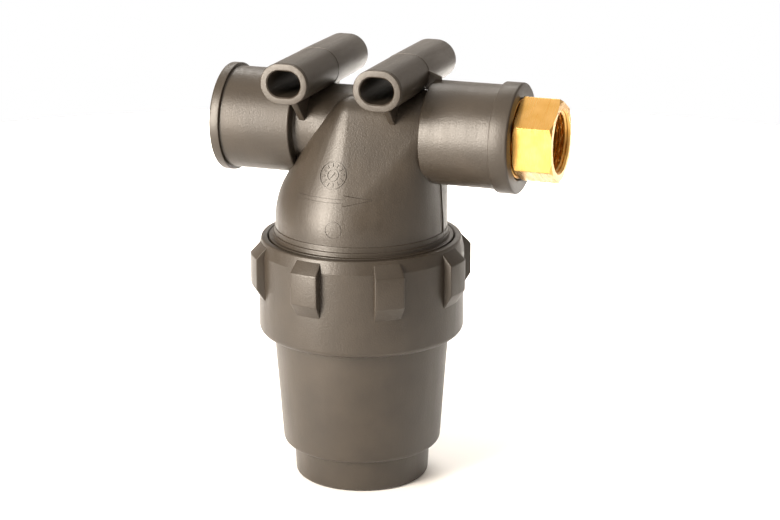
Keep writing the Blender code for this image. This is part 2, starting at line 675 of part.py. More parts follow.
def make_adapter(pieces, blocks, brass):
    """The outlet adapter: hexagon with a threaded socket, and a shank screwed into the insert."""
    seat = OUTLET_END + GAP
    face = seat + HEX_LENGTH
    corner_radius = HEX_ACROSS_FLATS / 2 / math.cos(math.pi / 6)
    shape = bmesh.new()
    bmesh.ops.create_cone(
        shape,
        cap_ends=True,
        segments=6,
        radius1=corner_radius,
        radius2=corner_radius,
        depth=HEX_LENGTH,
        matrix=Matrix.Translation((0, 0, (seat + face) / 2)) @ Matrix.Rotation(HEX_TURN, 4, "Z"),
    )
    mesh = bpy.data.meshes.new("outlet_adapter")
    shape.to_mesh(mesh)
    shape.free()
    adapter = add_object("outlet_adapter", mesh, pieces, PORT_FRAME)
    spread = corner_radius + SHANK_CHAMFER
    fall = (spread - HEX_CHAMFER_RADIUS) * math.tan(HEX_CHAMFER_ANGLE)
    tip_radius = HEX_CHAMFER_RADIUS - GAP / math.tan(HEX_CHAMFER_ANGLE)
    chamfers = turned(
        "hex_chamfer_block",
        [
            (0.0, face + GAP),
            (tip_radius, face + GAP),
            (spread, face - fall),
            (spread, seat + fall),
            (tip_radius, seat - GAP),
            (0.0, seat - GAP),
        ],
        blocks,
        frame=PORT_FRAME,
    )
    combine(adapter, "INTERSECT", chamfers)
    shank_radius = INSERT_BORE_RADIUS - GAP
    shank_end = seat - SHANK_LENGTH
    shank = turned(
        "shank_block",
        [
            (0.0, seat + SHANK_WALL / 2),
            (shank_radius, seat + SHANK_WALL / 2),
            (shank_radius, shank_end + SHANK_CHAMFER),
            (shank_radius - SHANK_CHAMFER, shank_end),
            (0.0, shank_end),
        ],
        blocks,
        steps=SMALL_STEPS,
        frame=PORT_FRAME,
    )
    combine(adapter, "UNION", shank)
    mouth_radius = SOCKET_RADIUS + SOCKET_MOUTH
    shank_bore = shank_radius - SHANK_WALL
    bore = turned(
        "adapter_bore_cutter",
        [
            (0.0, face + SOCKET_DEPTH),
            (mouth_radius + SOCKET_DEPTH, face + SOCKET_DEPTH),
            (mouth_radius, face),
            (SOCKET_RADIUS, face - SOCKET_MOUTH),
            (SOCKET_RADIUS, face - SOCKET_DEPTH),
            (shank_bore, face - SOCKET_DEPTH),
            (shank_bore, shank_end - SHANK_LENGTH),
            (0.0, shank_end - SHANK_LENGTH),
        ],
        blocks,
        steps=SMALL_STEPS,
        frame=PORT_FRAME,
    )
    combine(adapter, "DIFFERENCE", bore)
    return finish(adapter, brass)


def make_caps(pieces, plastic):
    """The cartridge's end caps, each with a groove that takes the ends of cage and mesh."""
    lip_inside = CAP_RADIUS - CAP_LIP_WALL
    top_groove = CAP_TOP_Z - CAP_PLATE
    top = turned(
        "cartridge_top_cap",
        [
            (CAP_BORE, CAP_TOP_Z),
            (CAP_RADIUS, CAP_TOP_Z),
            (CAP_RADIUS, top_groove - CAP_LIP),
            (lip_inside, top_groove - CAP_LIP),
            (lip_inside, top_groove),
            (CAP_INNER_LIP_RADIUS, top_groove),
            (CAP_INNER_LIP_RADIUS, top_groove - CAP_LIP),
            (CAP_BORE, top_groove - CAP_LIP),
        ],
        pieces,
        steps=INNER_STEPS,
        closed=True,
    )
    bottom_groove = CAP_BOTTOM_Z + CAP_PLATE
    bottom = turned(
        "cartridge_bottom_cap",
        [
            (0.0, bottom_groove),
            (CAP_INNER_LIP_RADIUS - CAP_LIP_WALL, bottom_groove),
            (CAP_INNER_LIP_RADIUS - CAP_LIP_WALL, bottom_groove + CAP_LIP),
            (CAP_INNER_LIP_RADIUS, bottom_groove + CAP_LIP),
            (CAP_INNER_LIP_RADIUS, bottom_groove),
            (lip_inside, bottom_groove),
            (lip_inside, bottom_groove + CAP_LIP),
            (CAP_RADIUS, bottom_groove + CAP_LIP),
            (CAP_RADIUS, CAP_BOTTOM_Z),
            (HUB_RADIUS, CAP_BOTTOM_Z),
            (HUB_RADIUS, CAP_BOTTOM_Z - HUB_LENGTH),
            (0.0, CAP_BOTTOM_Z - HUB_LENGTH),
        ],
        pieces,
        steps=INNER_STEPS,
    )
    finish(top, plastic)
    finish(bottom, plastic)


def make_lattice(name, radius, wall, columns, rows, bar, window_steps, pieces, material):
    """A round sleeve with windows: a grid rolled into a cylinder, without its window cells."""
    height = SCREEN_TOP_Z - SCREEN_BOTTOM_Z
    across = 1 + window_steps
    around = columns * across
    upward = 2 * rows + 1
    pitch = 2 * math.pi / columns
    bar_angle = bar / radius
    row_pitch = (height - bar) / rows

    def rolled(column, row):
        whole, part = divmod(column, across)
        angle = whole * pitch
        if part:
            angle += bar_angle + (part - 1) * (pitch - bar_angle) / window_steps
        level = SCREEN_BOTTOM_Z + (row // 2) * row_pitch + (row % 2) * bar
        return (radius * math.cos(angle), radius * math.sin(angle), level)

    shape = bmesh.new()
    bmesh.ops.create_grid(shape, x_segments=around, y_segments=upward, size=0.5)
    windows = []
    for face in shape.faces:
        middle = face.calc_center_median()
        column = int((middle.x + 0.5) * around)
        row = int((middle.y + 0.5) * upward)
        if column % across and row % 2:
            windows.append(face)
    for vert in shape.verts:
        vert.co = rolled(round((vert.co.x + 0.5) * around), round((vert.co.y + 0.5) * upward))
    bmesh.ops.delete(shape, geom=windows, context="FACES")
    bmesh.ops.remove_doubles(shape, verts=shape.verts, dist=WELD)
    mesh = bpy.data.meshes.new(name)
    shape.to_mesh(mesh)
    shape.free()
    sleeve = add_object(name, mesh, pieces)
    thicken = sleeve.modifiers.new("Wall", "SOLIDIFY")
    thicken.thickness = wall
    thicken.offset = -1.0
    thicken.use_even_offset = True
    return finish(sleeve, material)


def make_gasket(pieces, rubber):
    """The flat ring between the cartridge and the spigot's flange."""
    gasket = turned(
        "cartridge_gasket",
        [
            (CAP_BORE, GASKET_TOP_Z),
            (CAP_BORE + GASKET_WIDTH, GASKET_TOP_Z),
            (CAP_BORE + GASKET_WIDTH, GASKET_TOP_Z - GASKET_THICKNESS),
            (CAP_BORE, GASKET_TOP_Z - GASKET_THICKNESS),
        ],
        pieces,
        steps=INNER_STEPS,
        closed=True,
    )
    return finish(gasket, rubber)


def main():
    clear_scene()
    pieces = make_collection("inline_mesh_filter")
    blocks = make_collection("building_blocks")
    nylon = make_material("glass_filled_nylon", (0.115, 0.104, 0.092), 0.42)
    bowl_nylon = make_material("bowl_nylon", (0.115, 0.104, 0.092), 0.42)
    brass = make_material("brass", (0.80, 0.56, 0.22), 0.26, 1.0)
    rubber = make_material("black_rubber", (0.02, 0.02, 0.02), 0.6)
    frame_plastic = make_material("cartridge_plastic", (0.05, 0.12, 0.33), 0.4)
    steel = make_material("stainless_steel", (0.6, 0.6, 0.6), 0.3, 1.0)

    make_head(pieces, blocks, nylon)
    make_bowl(pieces, blocks, bowl_nylon)
    make_seal(pieces, rubber)
    make_insert("inlet_insert", -INLET_END + GAP, -INLET_END + GAP + INSERT_LENGTH, pieces, brass)
    make_insert("outlet_insert", OUTLET_END - GAP, OUTLET_END - GAP - INSERT_LENGTH, pieces, brass)
    make_adapter(pieces, blocks, brass)
    make_caps(pieces, frame_plastic)
    make_lattice(
        "cartridge_mesh",
        MESH_RADIUS,
        MESH_WALL,
        MESH_COLUMNS,
        MESH_ROWS,
        MESH_BAR,
        MESH_WINDOW_STEPS,
        pieces,
        steel,
    )
    make_lattice(
        "cartridge_cage",
        CAGE_RADIUS,
        CAGE_WALL,
        CAGE_COLUMNS,
        CAGE_ROWS,
        CAGE_BAR,
        CAGE_WINDOW_STEPS,
        pieces,
        frame_plastic,
    )
    make_gasket(pieces, rubber)
    bpy.context.view_layer.update()


main()
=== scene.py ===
import math

import bmesh
import bpy
from mathutils import Matrix, Vector
from mathutils.bvhtree import BVHTree


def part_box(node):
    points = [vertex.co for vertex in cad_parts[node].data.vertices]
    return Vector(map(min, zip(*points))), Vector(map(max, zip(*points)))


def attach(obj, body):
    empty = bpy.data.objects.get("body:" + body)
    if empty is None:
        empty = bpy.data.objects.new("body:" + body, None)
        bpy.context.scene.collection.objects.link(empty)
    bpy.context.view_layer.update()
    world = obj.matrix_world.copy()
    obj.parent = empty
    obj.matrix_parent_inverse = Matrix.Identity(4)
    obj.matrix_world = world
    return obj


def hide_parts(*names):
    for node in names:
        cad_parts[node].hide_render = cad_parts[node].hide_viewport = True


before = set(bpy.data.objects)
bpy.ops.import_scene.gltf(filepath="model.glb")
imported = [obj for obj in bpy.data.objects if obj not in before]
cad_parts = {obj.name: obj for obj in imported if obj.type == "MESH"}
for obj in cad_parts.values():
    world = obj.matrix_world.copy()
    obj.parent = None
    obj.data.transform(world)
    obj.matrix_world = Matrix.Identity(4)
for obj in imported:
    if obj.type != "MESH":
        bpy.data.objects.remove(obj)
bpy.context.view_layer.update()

# The looks of the inline mesh filter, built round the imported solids, in metres.

MM = 0.001

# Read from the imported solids
HEAD_LOW, HEAD_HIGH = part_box("head")
ADAPTER_LOW, ADAPTER_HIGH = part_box("outlet_adapter")
RIM_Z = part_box("bowl")[1].z
INLET_X = HEAD_LOW.x
OUTLET_X = HEAD_HIGH.x
TUBE_TOP_Z = HEAD_HIGH.z
HEX_END_X = ADAPTER_HIGH.x
SHANK_END_X = ADAPTER_LOW.x

# Room between pieces, as in the solids
GAP = 0.3 * MM

# Dome and elbow
PORT_Z = RIM_Z + 48.3 * MM
CROWN_Z = RIM_Z + 7.2 * MM
HEAD_RADIUS = 37.6 * MM
ELBOW_CORE_RADIUS = 19.0 * MM
ELBOW_ROOT_RADIUS = 16.6 * MM
ELBOW_OFFSET = 13.1 * MM
ELBOW_CORNER_RADIUS = 9.0 * MM
ELBOW_CORNER_SPREAD = 12.5 * MM
ELBOW_CORNERS = ((-8.64 * MM, PORT_Z - 5.1 * MM), (1.06 * MM, PORT_Z + 6.6 * MM))
CHAMBER_RADIUS = 34.0 * MM
CHAMBER_ELBOW_RADIUS = 15.9 * MM
RIDGE_PROUD = 0.45 * MM
RIDGE_HALF_WIDTH = 0.5 * MM

# Marks moulded into the dome's front: where each is, and which way the skin faces there
DIAL_PLACE = Vector((-1.56, -30.19, 143.39)) * MM
DIAL_OUT = (-0.05, -0.93, 0.36)
DIAL_SPOKES = 12
DIAL_TURN = math.radians(8)
ARROW_PLACE = Vector((0.0, -60.0, 133.2)) * MM
ARROW_OUT = (0, -1, 0)
EJECTOR_PLACE = Vector((1.01, -37.34, 121.31)) * MM
EJECTOR_OUT = (0.026, -0.991, 0.13)
MARK_HEIGHT = 0.3 * MM
EJECTOR_HEIGHT = 0.2 * MM

# Ports and the duct inside
SLEEVE_RADIUS = 22.2 * MM
RING_RADIUS = 23.6 * MM
INLET_SLEEVE_LENGTH = 36.3 * MM
INLET_RING_WIDTH = 4.4 * MM
NECK_RADIUS = 17.4 * MM
NECK_REACH = 8.0 * MM
OUTLET_SLEEVE_LENGTH = 39.1 * MM
OUTLET_RING_WIDTH = 8.1 * MM
BORE_RADIUS = 12.0 * MM
DUCT_RADIUS = 15.6 * MM
DUCT_BEND = 25.0 * MM
HOUSING_RADIUS = 17.2 * MM
HOUSING_CHAMFER = 0.8 * MM
SPIGOT_Z = RIM_Z - 12.0 * MM
SPIGOT_FLANGE_RADIUS = 19.5 * MM
SPIGOT_FLANGE_BOTTOM_Z = SPIGOT_Z + 6.0 * MM
SPIGOT_FLANGE_TOP_Z = SPIGOT_Z + 10.0 * MM

# Mounting tubes
TUBE_END_Y = 37.0 * MM
TUBE_WIDTH = 21.4 * MM
TUBE_HEIGHT = 17.8 * MM
TUBE_WALL = 3.3 * MM
TUBE_X = 20.6 * MM
TUBE_Z = TUBE_TOP_Z - TUBE_HEIGHT / 2
SLOT_FLARE = 0.5 * MM
GUSSET_THICKNESS = 3.0 * MM
GUSSET_REACH = 29.0 * MM
GUSSET_FOOT = 16.5 * MM
GUSSET_DEPTH = 20.0 * MM
FIN_THICKNESS = 1.6 * MM
FIN_REACH = 7.0 * MM
FIN_RISE = 3.0 * MM
FIN_DROP = 6.0 * MM

# Screw joint between head and bowl
FLANGE_TOP_Z = RIM_Z + 0.2 * MM
FLANGE_THICKNESS = 2.0 * MM
FLANGE_RADIUS = 40.4 * MM
STEP_RING_RADIUS = 38.7 * MM
STEP_RING_HEIGHT = 1.8 * MM
BASE_RING_HEIGHT = 2.4 * MM
BASE_RING_PROUD = 0.35 * MM
THREAD_RADIUS = 40.2 * MM
THREAD_LENGTH = 12.0 * MM
THREAD_PITCH = 4.0 * MM
THREAD_DEPTH = 1.5 * MM
THREAD_FADE = 1.6 * MM
RELIEF_DEPTH = 1.8 * MM
RELIEF_LENGTH = 9.0 * MM
NOSE_RADIUS = 37.0 * MM
NOSE_BORE = 31.9 * MM
NOSE_LENGTH = 11.0 * MM
GROOVE_BELOW_RELIEF = 5.6 * MM
GROOVE_DEPTH = 3.0 * MM
GROOVE_HALF_HEIGHT = 1.8 * MM

# Bowl
BOWL_WALL = 3.4 * MM
BOWL_FLOOR = 4.5 * MM
BOWL_TOP_RADIUS = 38.7 * MM
BOWL_BOTTOM_RADIUS = 34.9 * MM
BOWL_TOP_BORE = 35.3 * MM
BOWL_BOTTOM_BORE = 31.5 * MM
BOWL_NOSE_BORE = 37.4 * MM
FOOT_HEIGHT = 15.2 * MM
FOOT_TOP_RADIUS = 30.4 * MM
FOOT_BOTTOM_RADIUS = 29.6 * MM
FOOT_TOP_BORE = 27.0 * MM
FOOT_BOTTOM_BORE = 26.2 * MM
CENTRING_RADIUS = 10.0 * MM
CENTRING_WALL = 3.0 * MM
CENTRING_TOP_Z = 8.7 * MM
COLLAR_BOTTOM_Z = 67.0 * MM
COLLAR_RADIUS = 45.1 * MM
COLLAR_ROUNDING = 6.3 * MM
RIM_BAND_HEIGHT = 5.7 * MM
RIM_RADIUS = COLLAR_RADIUS - 1.4 * MM
LUG_COUNT = 8
LUG_START = math.radians(-10.3)
LUG_ANGLE = math.radians(15.3)
LUG_RADIUS = 48.8 * MM
LUG_ROOT_RADIUS = RIM_RADIUS - 2.0 * MM
LUG_TOP_Z = RIM_Z - 1.2 * MM
LUG_FACE_TOP_Z = LUG_TOP_Z - 5.2 * MM
LUG_FACE_BOTTOM_Z = LUG_TOP_Z - 18.8 * MM
LUG_BOTTOM_Z = LUG_TOP_Z - 25.2 * MM

# Brass
HEX_ACROSS_FLATS = 32.0 * MM
HEX_TURN = math.radians(33.0)
HEX_CHAMFER_RADIUS = 16.8 * MM
HEX_CHAMFER_ANGLE = math.radians(30.0)
SHANK_RADIUS = 12.9 * MM
SHANK_BORE = 9.9 * MM
SOCKET_RADIUS = 13.15 * MM
SOCKET_DEPTH = 13.0 * MM
INSERT_LENGTH = 17.8 * MM
INSERT_RADIUS = 16.9 * MM
INSERT_BORE = 13.2 * MM
INSERT_GROOVE_HALF = 1.5 * MM
PIPE_PITCH = 1.814 * MM
PIPE_THREAD_DEPTH = 1.05 * MM
PIPE_FADE = 0.9 * MM

# How finely round forms are divided
ROUND_STEPS = 144
FINE_STEPS = 192
SKIN_STEPS = 120
BORE_STEPS = 64
EDGE_STEPS = 4

# The usual rounding of an edge
SOFT_EDGE = 0.3 * MM

# Colours of the materials' darker and lighter patches (for the steel mesh, painted shade between the wires),
# and of the lamps
NYLON_DARK = (0.024, 0.019, 0.014)
NYLON_LIGHT = (0.033, 0.026, 0.019)
BRASS_CLEAN = (0.74, 0.45, 0.15)
BRASS_DULL = (0.66, 0.38, 0.10)
# Painted shade: the steel mesh's dark tone goes in the troughs between wires, the light tone on their crests
STEEL_TROUGH_SHADE = (0.30, 0.30, 0.30)
STEEL_CREST = (0.66, 0.66, 0.65)
FLOOR_DARK = (0.90, 0.90, 0.90)
FLOOR_LIGHT = (0.92, 0.92, 0.92)
WHITE = (1.0, 1.0, 1.0)
WARM = (1.0, 0.90, 0.78)

X_AXIS = Matrix.Rotation(math.pi / 2, 4, "Y")
PORT_FRAME = Matrix.Translation((0, 0, PORT_Z)) @ X_AXIS


def link_object(name, data):
    """A new object in the scene that shows the given data."""
    item = bpy.data.objects.new(name, data)
    bpy.context.scene.collection.objects.link(item)
    return item


def shape_object(name, shape):
    """A new object in the scene from a finished bmesh, which it frees."""
    mesh = bpy.data.meshes.new(name)
    shape.to_mesh(mesh)
    shape.free()
    return link_object(name, mesh)


def add_mesh(name, vertices, faces):
    """A new object in the scene from points and faces, with its faces turned outwards."""
    mesh = bpy.data.meshes.new(name)
    mesh.from_pydata([tuple(point) for point in vertices], [], faces)
    shape = bmesh.new()
    shape.from_mesh(mesh)
    bmesh.ops.recalc_face_normals(shape, faces=shape.faces)
    shape.to_mesh(mesh)
    shape.free()
    return link_object(name, mesh)


def soften(corners, radius, steps=EDGE_STEPS, closed=False):
    """Rounds a profile's corners. A corner is (r, h), or (r, h, radius) for a radius of its own."""
    points = []
    count = len(corners)
    for i, corner in enumerate(corners):
        here = Vector(corner[:2])
        if not closed and i in (0, count - 1):
            points.append(here)
            continue
        back = Vector(corners[i - 1][:2]) - here
        ahead = Vector(corners[(i + 1) % count][:2]) - here
        wanted = corner[2] if len(corner) > 2 else radius
        opening = back.angle(ahead, 0.0)
        if wanted <= 0 or opening < 0.05 or opening > math.pi - 0.08:
            points.append(here)
            continue
        reach = min(wanted / math.tan(opening / 2), 0.47 * back.length, 0.47 * ahead.length)
        start = here + back.normalized() * reach
        end = here + ahead.normalized() * reach
        true_radius = reach * math.tan(opening / 2)
        inward = (back.normalized() + ahead.normalized()).normalized()
        centre = here + inward * (true_radius / math.sin(opening / 2))
        first = start - centre
        last = end - centre
        turn = first.angle_signed(last)
        for k in range(steps + 1):
            points.append(centre + Matrix.Rotation(-turn * k / steps, 2) @ first)
    return [(point[0], point[1]) for point in points]


def run(radius, start, end, count):
    """Evenly spaced profile points along a straight wall."""
    return [(radius, start + (end - start) * i / count) for i in range(count + 1)]


def lathe(name, profile, steps=ROUND_STEPS, place=Matrix.Identity(4), closed=False, relief=None):
    """A closed body turned about its local Z axis; relief(angle, radius, height) may shift a wall."""
    rings = []
    vertices = []
    for radius, height in profile:
        if radius < 1e-7:
            rings.append([len(vertices)])
            vertices.append(place @ Vector((0, 0, height)))
            continue
        ring = []
        for k in range(steps):
            angle = 2 * math.pi * k / steps
            r = relief(angle, radius, height) if relief else radius
            ring.append(len(vertices))
            vertices.append(place @ Vector((r * math.cos(angle), r * math.sin(angle), height)))
        rings.append(ring)
    pairs = list(zip(rings, rings[1:]))
    if closed:
        pairs.append((rings[-1], rings[0]))
    faces = []
    for low, high in pairs:
        for k in range(steps):
            after = (k + 1) % steps
            if len(low) == 1 and len(high) == 1:
                break
            if len(low) == 1:
                faces.append((low[0], high[k], high[after]))
            elif len(high) == 1:
                faces.append((low[k], high[0], low[after]))
            else:
                faces.append((low[k], high[k], high[after], low[after]))
    return add_mesh(name, vertices, faces)


def apply_all(item):
    """Turns an object's modifiers into its mesh."""
    depsgraph = bpy.context.evaluated_depsgraph_get()
    mesh = bpy.data.meshes.new_from_object(item.evaluated_get(depsgraph))
    item.modifiers.clear()
    item.data = mesh
    return item


def combine(item, operation, others):
    """Joins shapes to an object or cuts them from it, in one step, and removes the shapes."""
    group = bpy.data.collections.new(operation)
    bpy.context.scene.collection.children.link(group)
    for other in others:
        group.objects.link(other)
    step = item.modifiers.new(operation, "BOOLEAN")
    step.operation = operation
    step.solver = "EXACT"
    step.operand_type = "COLLECTION"
    step.collection = group
    apply_all(item)
    for other in others:
        bpy.data.objects.remove(other, do_unlink=True)
    bpy.data.collections.remove(group)
    return item


def smooth(item, degrees=30.0):
    """Smooth shading with edges over the given angle left sharp."""
    item.data.shade_smooth()
    item.data.set_sharp_from_angle(angle=math.radians(degrees))
    return item


def outline(width, height, steps):
    """A stadium's points, starting at the right end's bottom, in its own plane."""
    radius = height / 2
    reach = width / 2 - radius
    points = []
    for centre, start in ((reach, -90.0), (-reach, 90.0)):
        for k in range(steps + 1):
            angle = math.radians(start + 180.0 * k / steps)
            points.append((centre + radius * math.cos(angle), radius * math.sin(angle)))
    return points


def loft(name, sections, place):
    """A closed body through matching outlines; a section is (outline points, height along local Z)."""
    vertices = []
    for points, height in sections:
        vertices += [place @ Vector((x, y, height)) for x, y in points]
    count = len(sections[0][0])
    faces = []
    for s in range(len(sections) - 1):
        for k in range(count):
            after = (k + 1) % count
            faces.append((s * count + k, s * count + after, (s + 1) * count + after, (s + 1) * count + k))
    faces.append(tuple(reversed(range(count))))
    faces.append(tuple((len(sections) - 1) * count + k for k in range(count)))
    return add_mesh(name, vertices, faces)


def block(name, points, thickness, place, edge):
    """A flat outline thickened to both sides of its local XY plane, with bevelled edges."""
    shape = bmesh.new()
    low = [shape.verts.new((x, y, -thickness / 2)) for x, y in points]
    face = shape.faces.new(low)
    made = bmesh.ops.extrude_face_region(shape, geom=[face])
    up = [v for v in made["geom"] if isinstance(v, bmesh.types.BMVert)]
    bmesh.ops.translate(shape, vec=(0, 0, thickness), verts=up)
    bmesh.ops.recalc_face_normals(shape, faces=shape.faces)
    if edge > 0:
        bmesh.ops.bevel(shape, geom=list(shape.edges), offset=edge, segments=3, profile=0.5, affect="EDGES")
    shape.transform(place)
    return shape_object(name, shape)


def hull(name, points):
    """The smooth skin stretched over a cloud of points, as one closed body."""
    shape = bmesh.new()
    corners = [shape.verts.new(point) for point in points]
    bmesh.ops.convex_hull(shape, input=corners)
    bmesh.ops.delete(shape, geom=[v for v in shape.verts if not v.link_faces], context="VERTS")
    bmesh.ops.remove_doubles(shape, verts=shape.verts, dist=0.0005 * MM)
    bmesh.ops.recalc_face_normals(shape, faces=shape.faces)
    return shape_object(name, shape)


def ball(centre, radius, steps):
    """Points spread over a sphere, with its rows round the Z axis."""
    points = []
    for i in range(steps // 2 + 1):
        lift = -math.pi / 2 + math.pi * i / (steps // 2)
        for k in range(steps):
            angle = 2 * math.pi * k / steps
            out = Vector((math.cos(lift) * math.cos(angle), math.cos(lift) * math.sin(angle), math.sin(lift)))
            points.append(Vector(centre) + radius * out)
            if i in (0, steps // 2):
                break
    return points


def hoop(centre, radius, steps, axis):
    """Points spread round a circle about an axis."""
    turn = Vector(axis).to_track_quat("Z", "Y").to_matrix()
    points = []
    for k in range(steps):
        angle = 2 * math.pi * k / steps
        points.append(Vector(centre) + turn @ Vector((radius * math.cos(angle), radius * math.sin(angle), 0)))
    return points


def skin_points(proud, steps):
    """What the dome and elbow are stretched over: two spheres, a base, the outlet's root and four corners."""
    crown = Vector((0, 0, CROWN_Z))
    elbow = Vector((ELBOW_OFFSET, 0, PORT_Z))
    points = ball(crown, HEAD_RADIUS + proud, steps)
    points += ball(elbow, ELBOW_CORE_RADIUS + proud, steps)
    points += hoop((0, 0, RIM_Z + MM), HEAD_RADIUS + proud, steps, (0, 0, 1))
    root = OUTLET_X - OUTLET_SLEEVE_LENGTH + MM
    points += hoop((root, 0, PORT_Z), ELBOW_ROOT_RADIUS + proud, steps, (1, 0, 0))
    for x, z in ELBOW_CORNERS:
        for side in (-1, 1):
            points += ball((x, side * ELBOW_CORNER_SPREAD, z), ELBOW_CORNER_RADIUS + proud, steps // 3)
    return points


def slab(name, points, half):
    """The part of a skin that lies within half a width of the parting plane."""
    item = hull(name, points)
    shape = bmesh.new()
    shape.from_mesh(item.data)
    for side in (-1, 1):
        everything = list(shape.verts) + list(shape.edges) + list(shape.faces)
        made = bmesh.ops.bisect_plane(
            shape,
            geom=everything,
            plane_co=(0, side * half, 0),
            plane_no=(0, side, 0),
            clear_outer=True,
        )
        rim = [part for part in made["geom_cut"] if isinstance(part, bmesh.types.BMEdge)]
        bmesh.ops.contextual_create(shape, geom=rim)
    bmesh.ops.recalc_face_normals(shape, faces=shape.faces)
    shape.to_mesh(item.data)
    shape.free()
    return item


def raised(name, skin, place, strips, height):
    """Low raised strips that follow a skin.

    The place is a frame with its Z pointing out of the skin. A strip is a row of point pairs, each pair the
    strip's two edges as (across, up), and ends in True where it closes on itself.
    """
    vertices = []
    faces = []
    inward = -place.to_3x3().col[2].normalized()
    for pairs, closed in strips:
        first = len(vertices)
        for pair in pairs:
            middle = ((pair[0][0] + pair[1][0]) / 2, (pair[0][1] + pair[1][1]) / 2)
            section = []
            for edge in pair:
                narrow = Vector(edge).lerp(Vector(middle), 0.25)
                for spot, lift in ((edge, -0.3 * MM), (narrow, height)):
                    start = place @ Vector((spot[0], spot[1], 20 * MM))
                    hit, normal = skin.ray_cast(start, inward)[:2]
                    section.append(hit + lift * normal)
            vertices += [section[0], section[1], section[3], section[2]]
        count = len(pairs)
        for i in range(count if closed else count - 1):
            here, after = first + 4 * i, first + 4 * ((i + 1) % count)
            for k in range(4):
                faces.append((here + k, here + (k + 1) % 4, after + (k + 1) % 4, after + k))
        if not closed:
            faces.append(tuple(first + k for k in range(4)))
            faces.append(tuple(first + 4 * (count - 1) + k for k in (3, 2, 1, 0)))
    return smooth(add_mesh(name, vertices, faces))


def band(inner, outer, steps=48):
    """A ring as one of the strips above."""
    pairs = []
    for k in range(steps):
        angle = 2 * math.pi * k / steps
        x, y = math.cos(angle), math.sin(angle)
        pairs.append(((inner * x, inner * y), (outer * x, outer * y)))
    return pairs, True


def bar(start, end, width, steps=1):
    """A straight bar as one of the strips above."""
    along = Vector(end) - Vector(start)
    side = Vector((-along.y, along.x)).normalized() * width / 2
    pairs = []
    for k in range(steps + 1):
        spot = Vector(start) + along * k / steps
        pairs.append((tuple(spot - side), tuple(spot + side)))
    return pairs, False


def outward_frame(point, normal):
    """A frame on the skin with X level and Z pointing out."""
    out = Vector(normal).normalized()
    across = Vector((0, 0, 1)).cross(out).normalized()
    up = out.cross(across)
    return Matrix.Translation(point) @ Matrix((across, up, out)).transposed().to_4x4()


def make_marks():
    """What is moulded into the dome's front: a date dial, a flow arrow and an ejector mark."""
    source = hull("skin", skin_points(0.0, SKIN_STEPS))
    bpy.context.view_layer.update()
    points = [vertex.co.copy() for vertex in source.data.vertices]
    skin = BVHTree.FromPolygons(points, [tuple(face.vertices) for face in source.data.polygons])
    bpy.data.objects.remove(source, do_unlink=True)
    dial = [band(5.7 * MM, 6.1 * MM), band(2.15 * MM, 2.7 * MM)]
    for k in range(DIAL_SPOKES):
        angle = 2 * math.pi * k / DIAL_SPOKES + DIAL_TURN
        out = Vector((math.cos(angle), math.sin(angle)))
        dial.append(bar(out * 3.5 * MM, out * 5.1 * MM, 0.8 * MM))
    dial.append(bar((-1.0 * MM, -1.3 * MM), (0.8 * MM, 1.1 * MM), 0.6 * MM))
    tail_x, neck_x, tip_x = -17.2 * MM, 4.4 * MM, 16.0 * MM
    shaft = bar((tail_x, 0.0), (neck_x, 0.0), 1.9 * MM, 24)
    neck_low, neck_high = Vector((neck_x, -2.5 * MM)), Vector((neck_x, 2.9 * MM))
    tip_low, tip_high = Vector((tip_x, 0.7 * MM)), Vector((tip_x, 1.0 * MM))
    steps = 12
    shares = [k / steps for k in range(steps + 1)]
    tip = [(tuple(neck_low.lerp(tip_low, share)), tuple(neck_high.lerp(tip_high, share))) for share in shares]
    arrow = [shaft, (tip, False)]
    ejector = [band(3.3 * MM, 3.75 * MM)]
    return [
        raised("date_dial", skin, outward_frame(DIAL_PLACE, DIAL_OUT), dial, MARK_HEIGHT),
        raised("flow_arrow", skin, outward_frame(ARROW_PLACE, ARROW_OUT), arrow, MARK_HEIGHT),
        raised("ejector_mark", skin, outward_frame(EJECTOR_PLACE, EJECTOR_OUT), ejector, EJECTOR_HEIGHT),
    ]


def pipe(name, path, radius, steps):
    """A round bar along a path in the XZ plane, closed at both ends."""
    vertices = []
    for i, point in enumerate(path):
        before = path[max(i - 1, 0)]
        after = path[min(i + 1, len(path) - 1)]
        along = (Vector(after) - Vector(before)).normalized()
        side = Vector((0, 1, 0))
        out = side.cross(along)
        for k in range(steps):
            angle = 2 * math.pi * k / steps
            vertices.append(Vector(point) + radius * (math.cos(angle) * side + math.sin(angle) * out))
    faces = []
    for i in range(len(path) - 1):
        for k in range(steps):
            after = (k + 1) % steps
            faces.append((i * steps + k, i * steps + after, (i + 1) * steps + after, (i + 1) * steps + k))
    faces.append(tuple(reversed(range(steps))))
    faces.append(tuple((len(path) - 1) * steps + k for k in range(steps)))
    return add_mesh(name, vertices, faces)


def duct_path(lower_end, outer_end):
    """Up from the cartridge, round one bend, and out along the port."""
    path = [(0.0, 0.0, lower_end)]
    steps = 16
    for i in range(steps + 1):
        angle = math.pi - math.pi / 2 * i / steps
        x = DUCT_BEND + DUCT_BEND * math.cos(angle)
        path.append((x, 0.0, PORT_Z - DUCT_BEND + DUCT_BEND * math.sin(angle)))
    path.append((outer_end, 0.0, PORT_Z))
    return path


def thread(pitch, depth, start, end, fade):
    """A relief that raises a helical ridge, from minus depth at its roots to nothing at its crests."""

    def relief(angle, radius, height):
        if height < start or height > end:
            return radius
        phase = (height / pitch - angle / (2 * math.pi)) % 1.0
        crest, flank = 0.14, 0.22
        ridge = min(max((abs(phase - 0.5) - crest) / flank, 0.0), 1.0)
        ease = min(1.0, (height - start) / fade, (end - height) / fade)
        return radius - depth * ridge * max(ease, 0.0)

    return relief


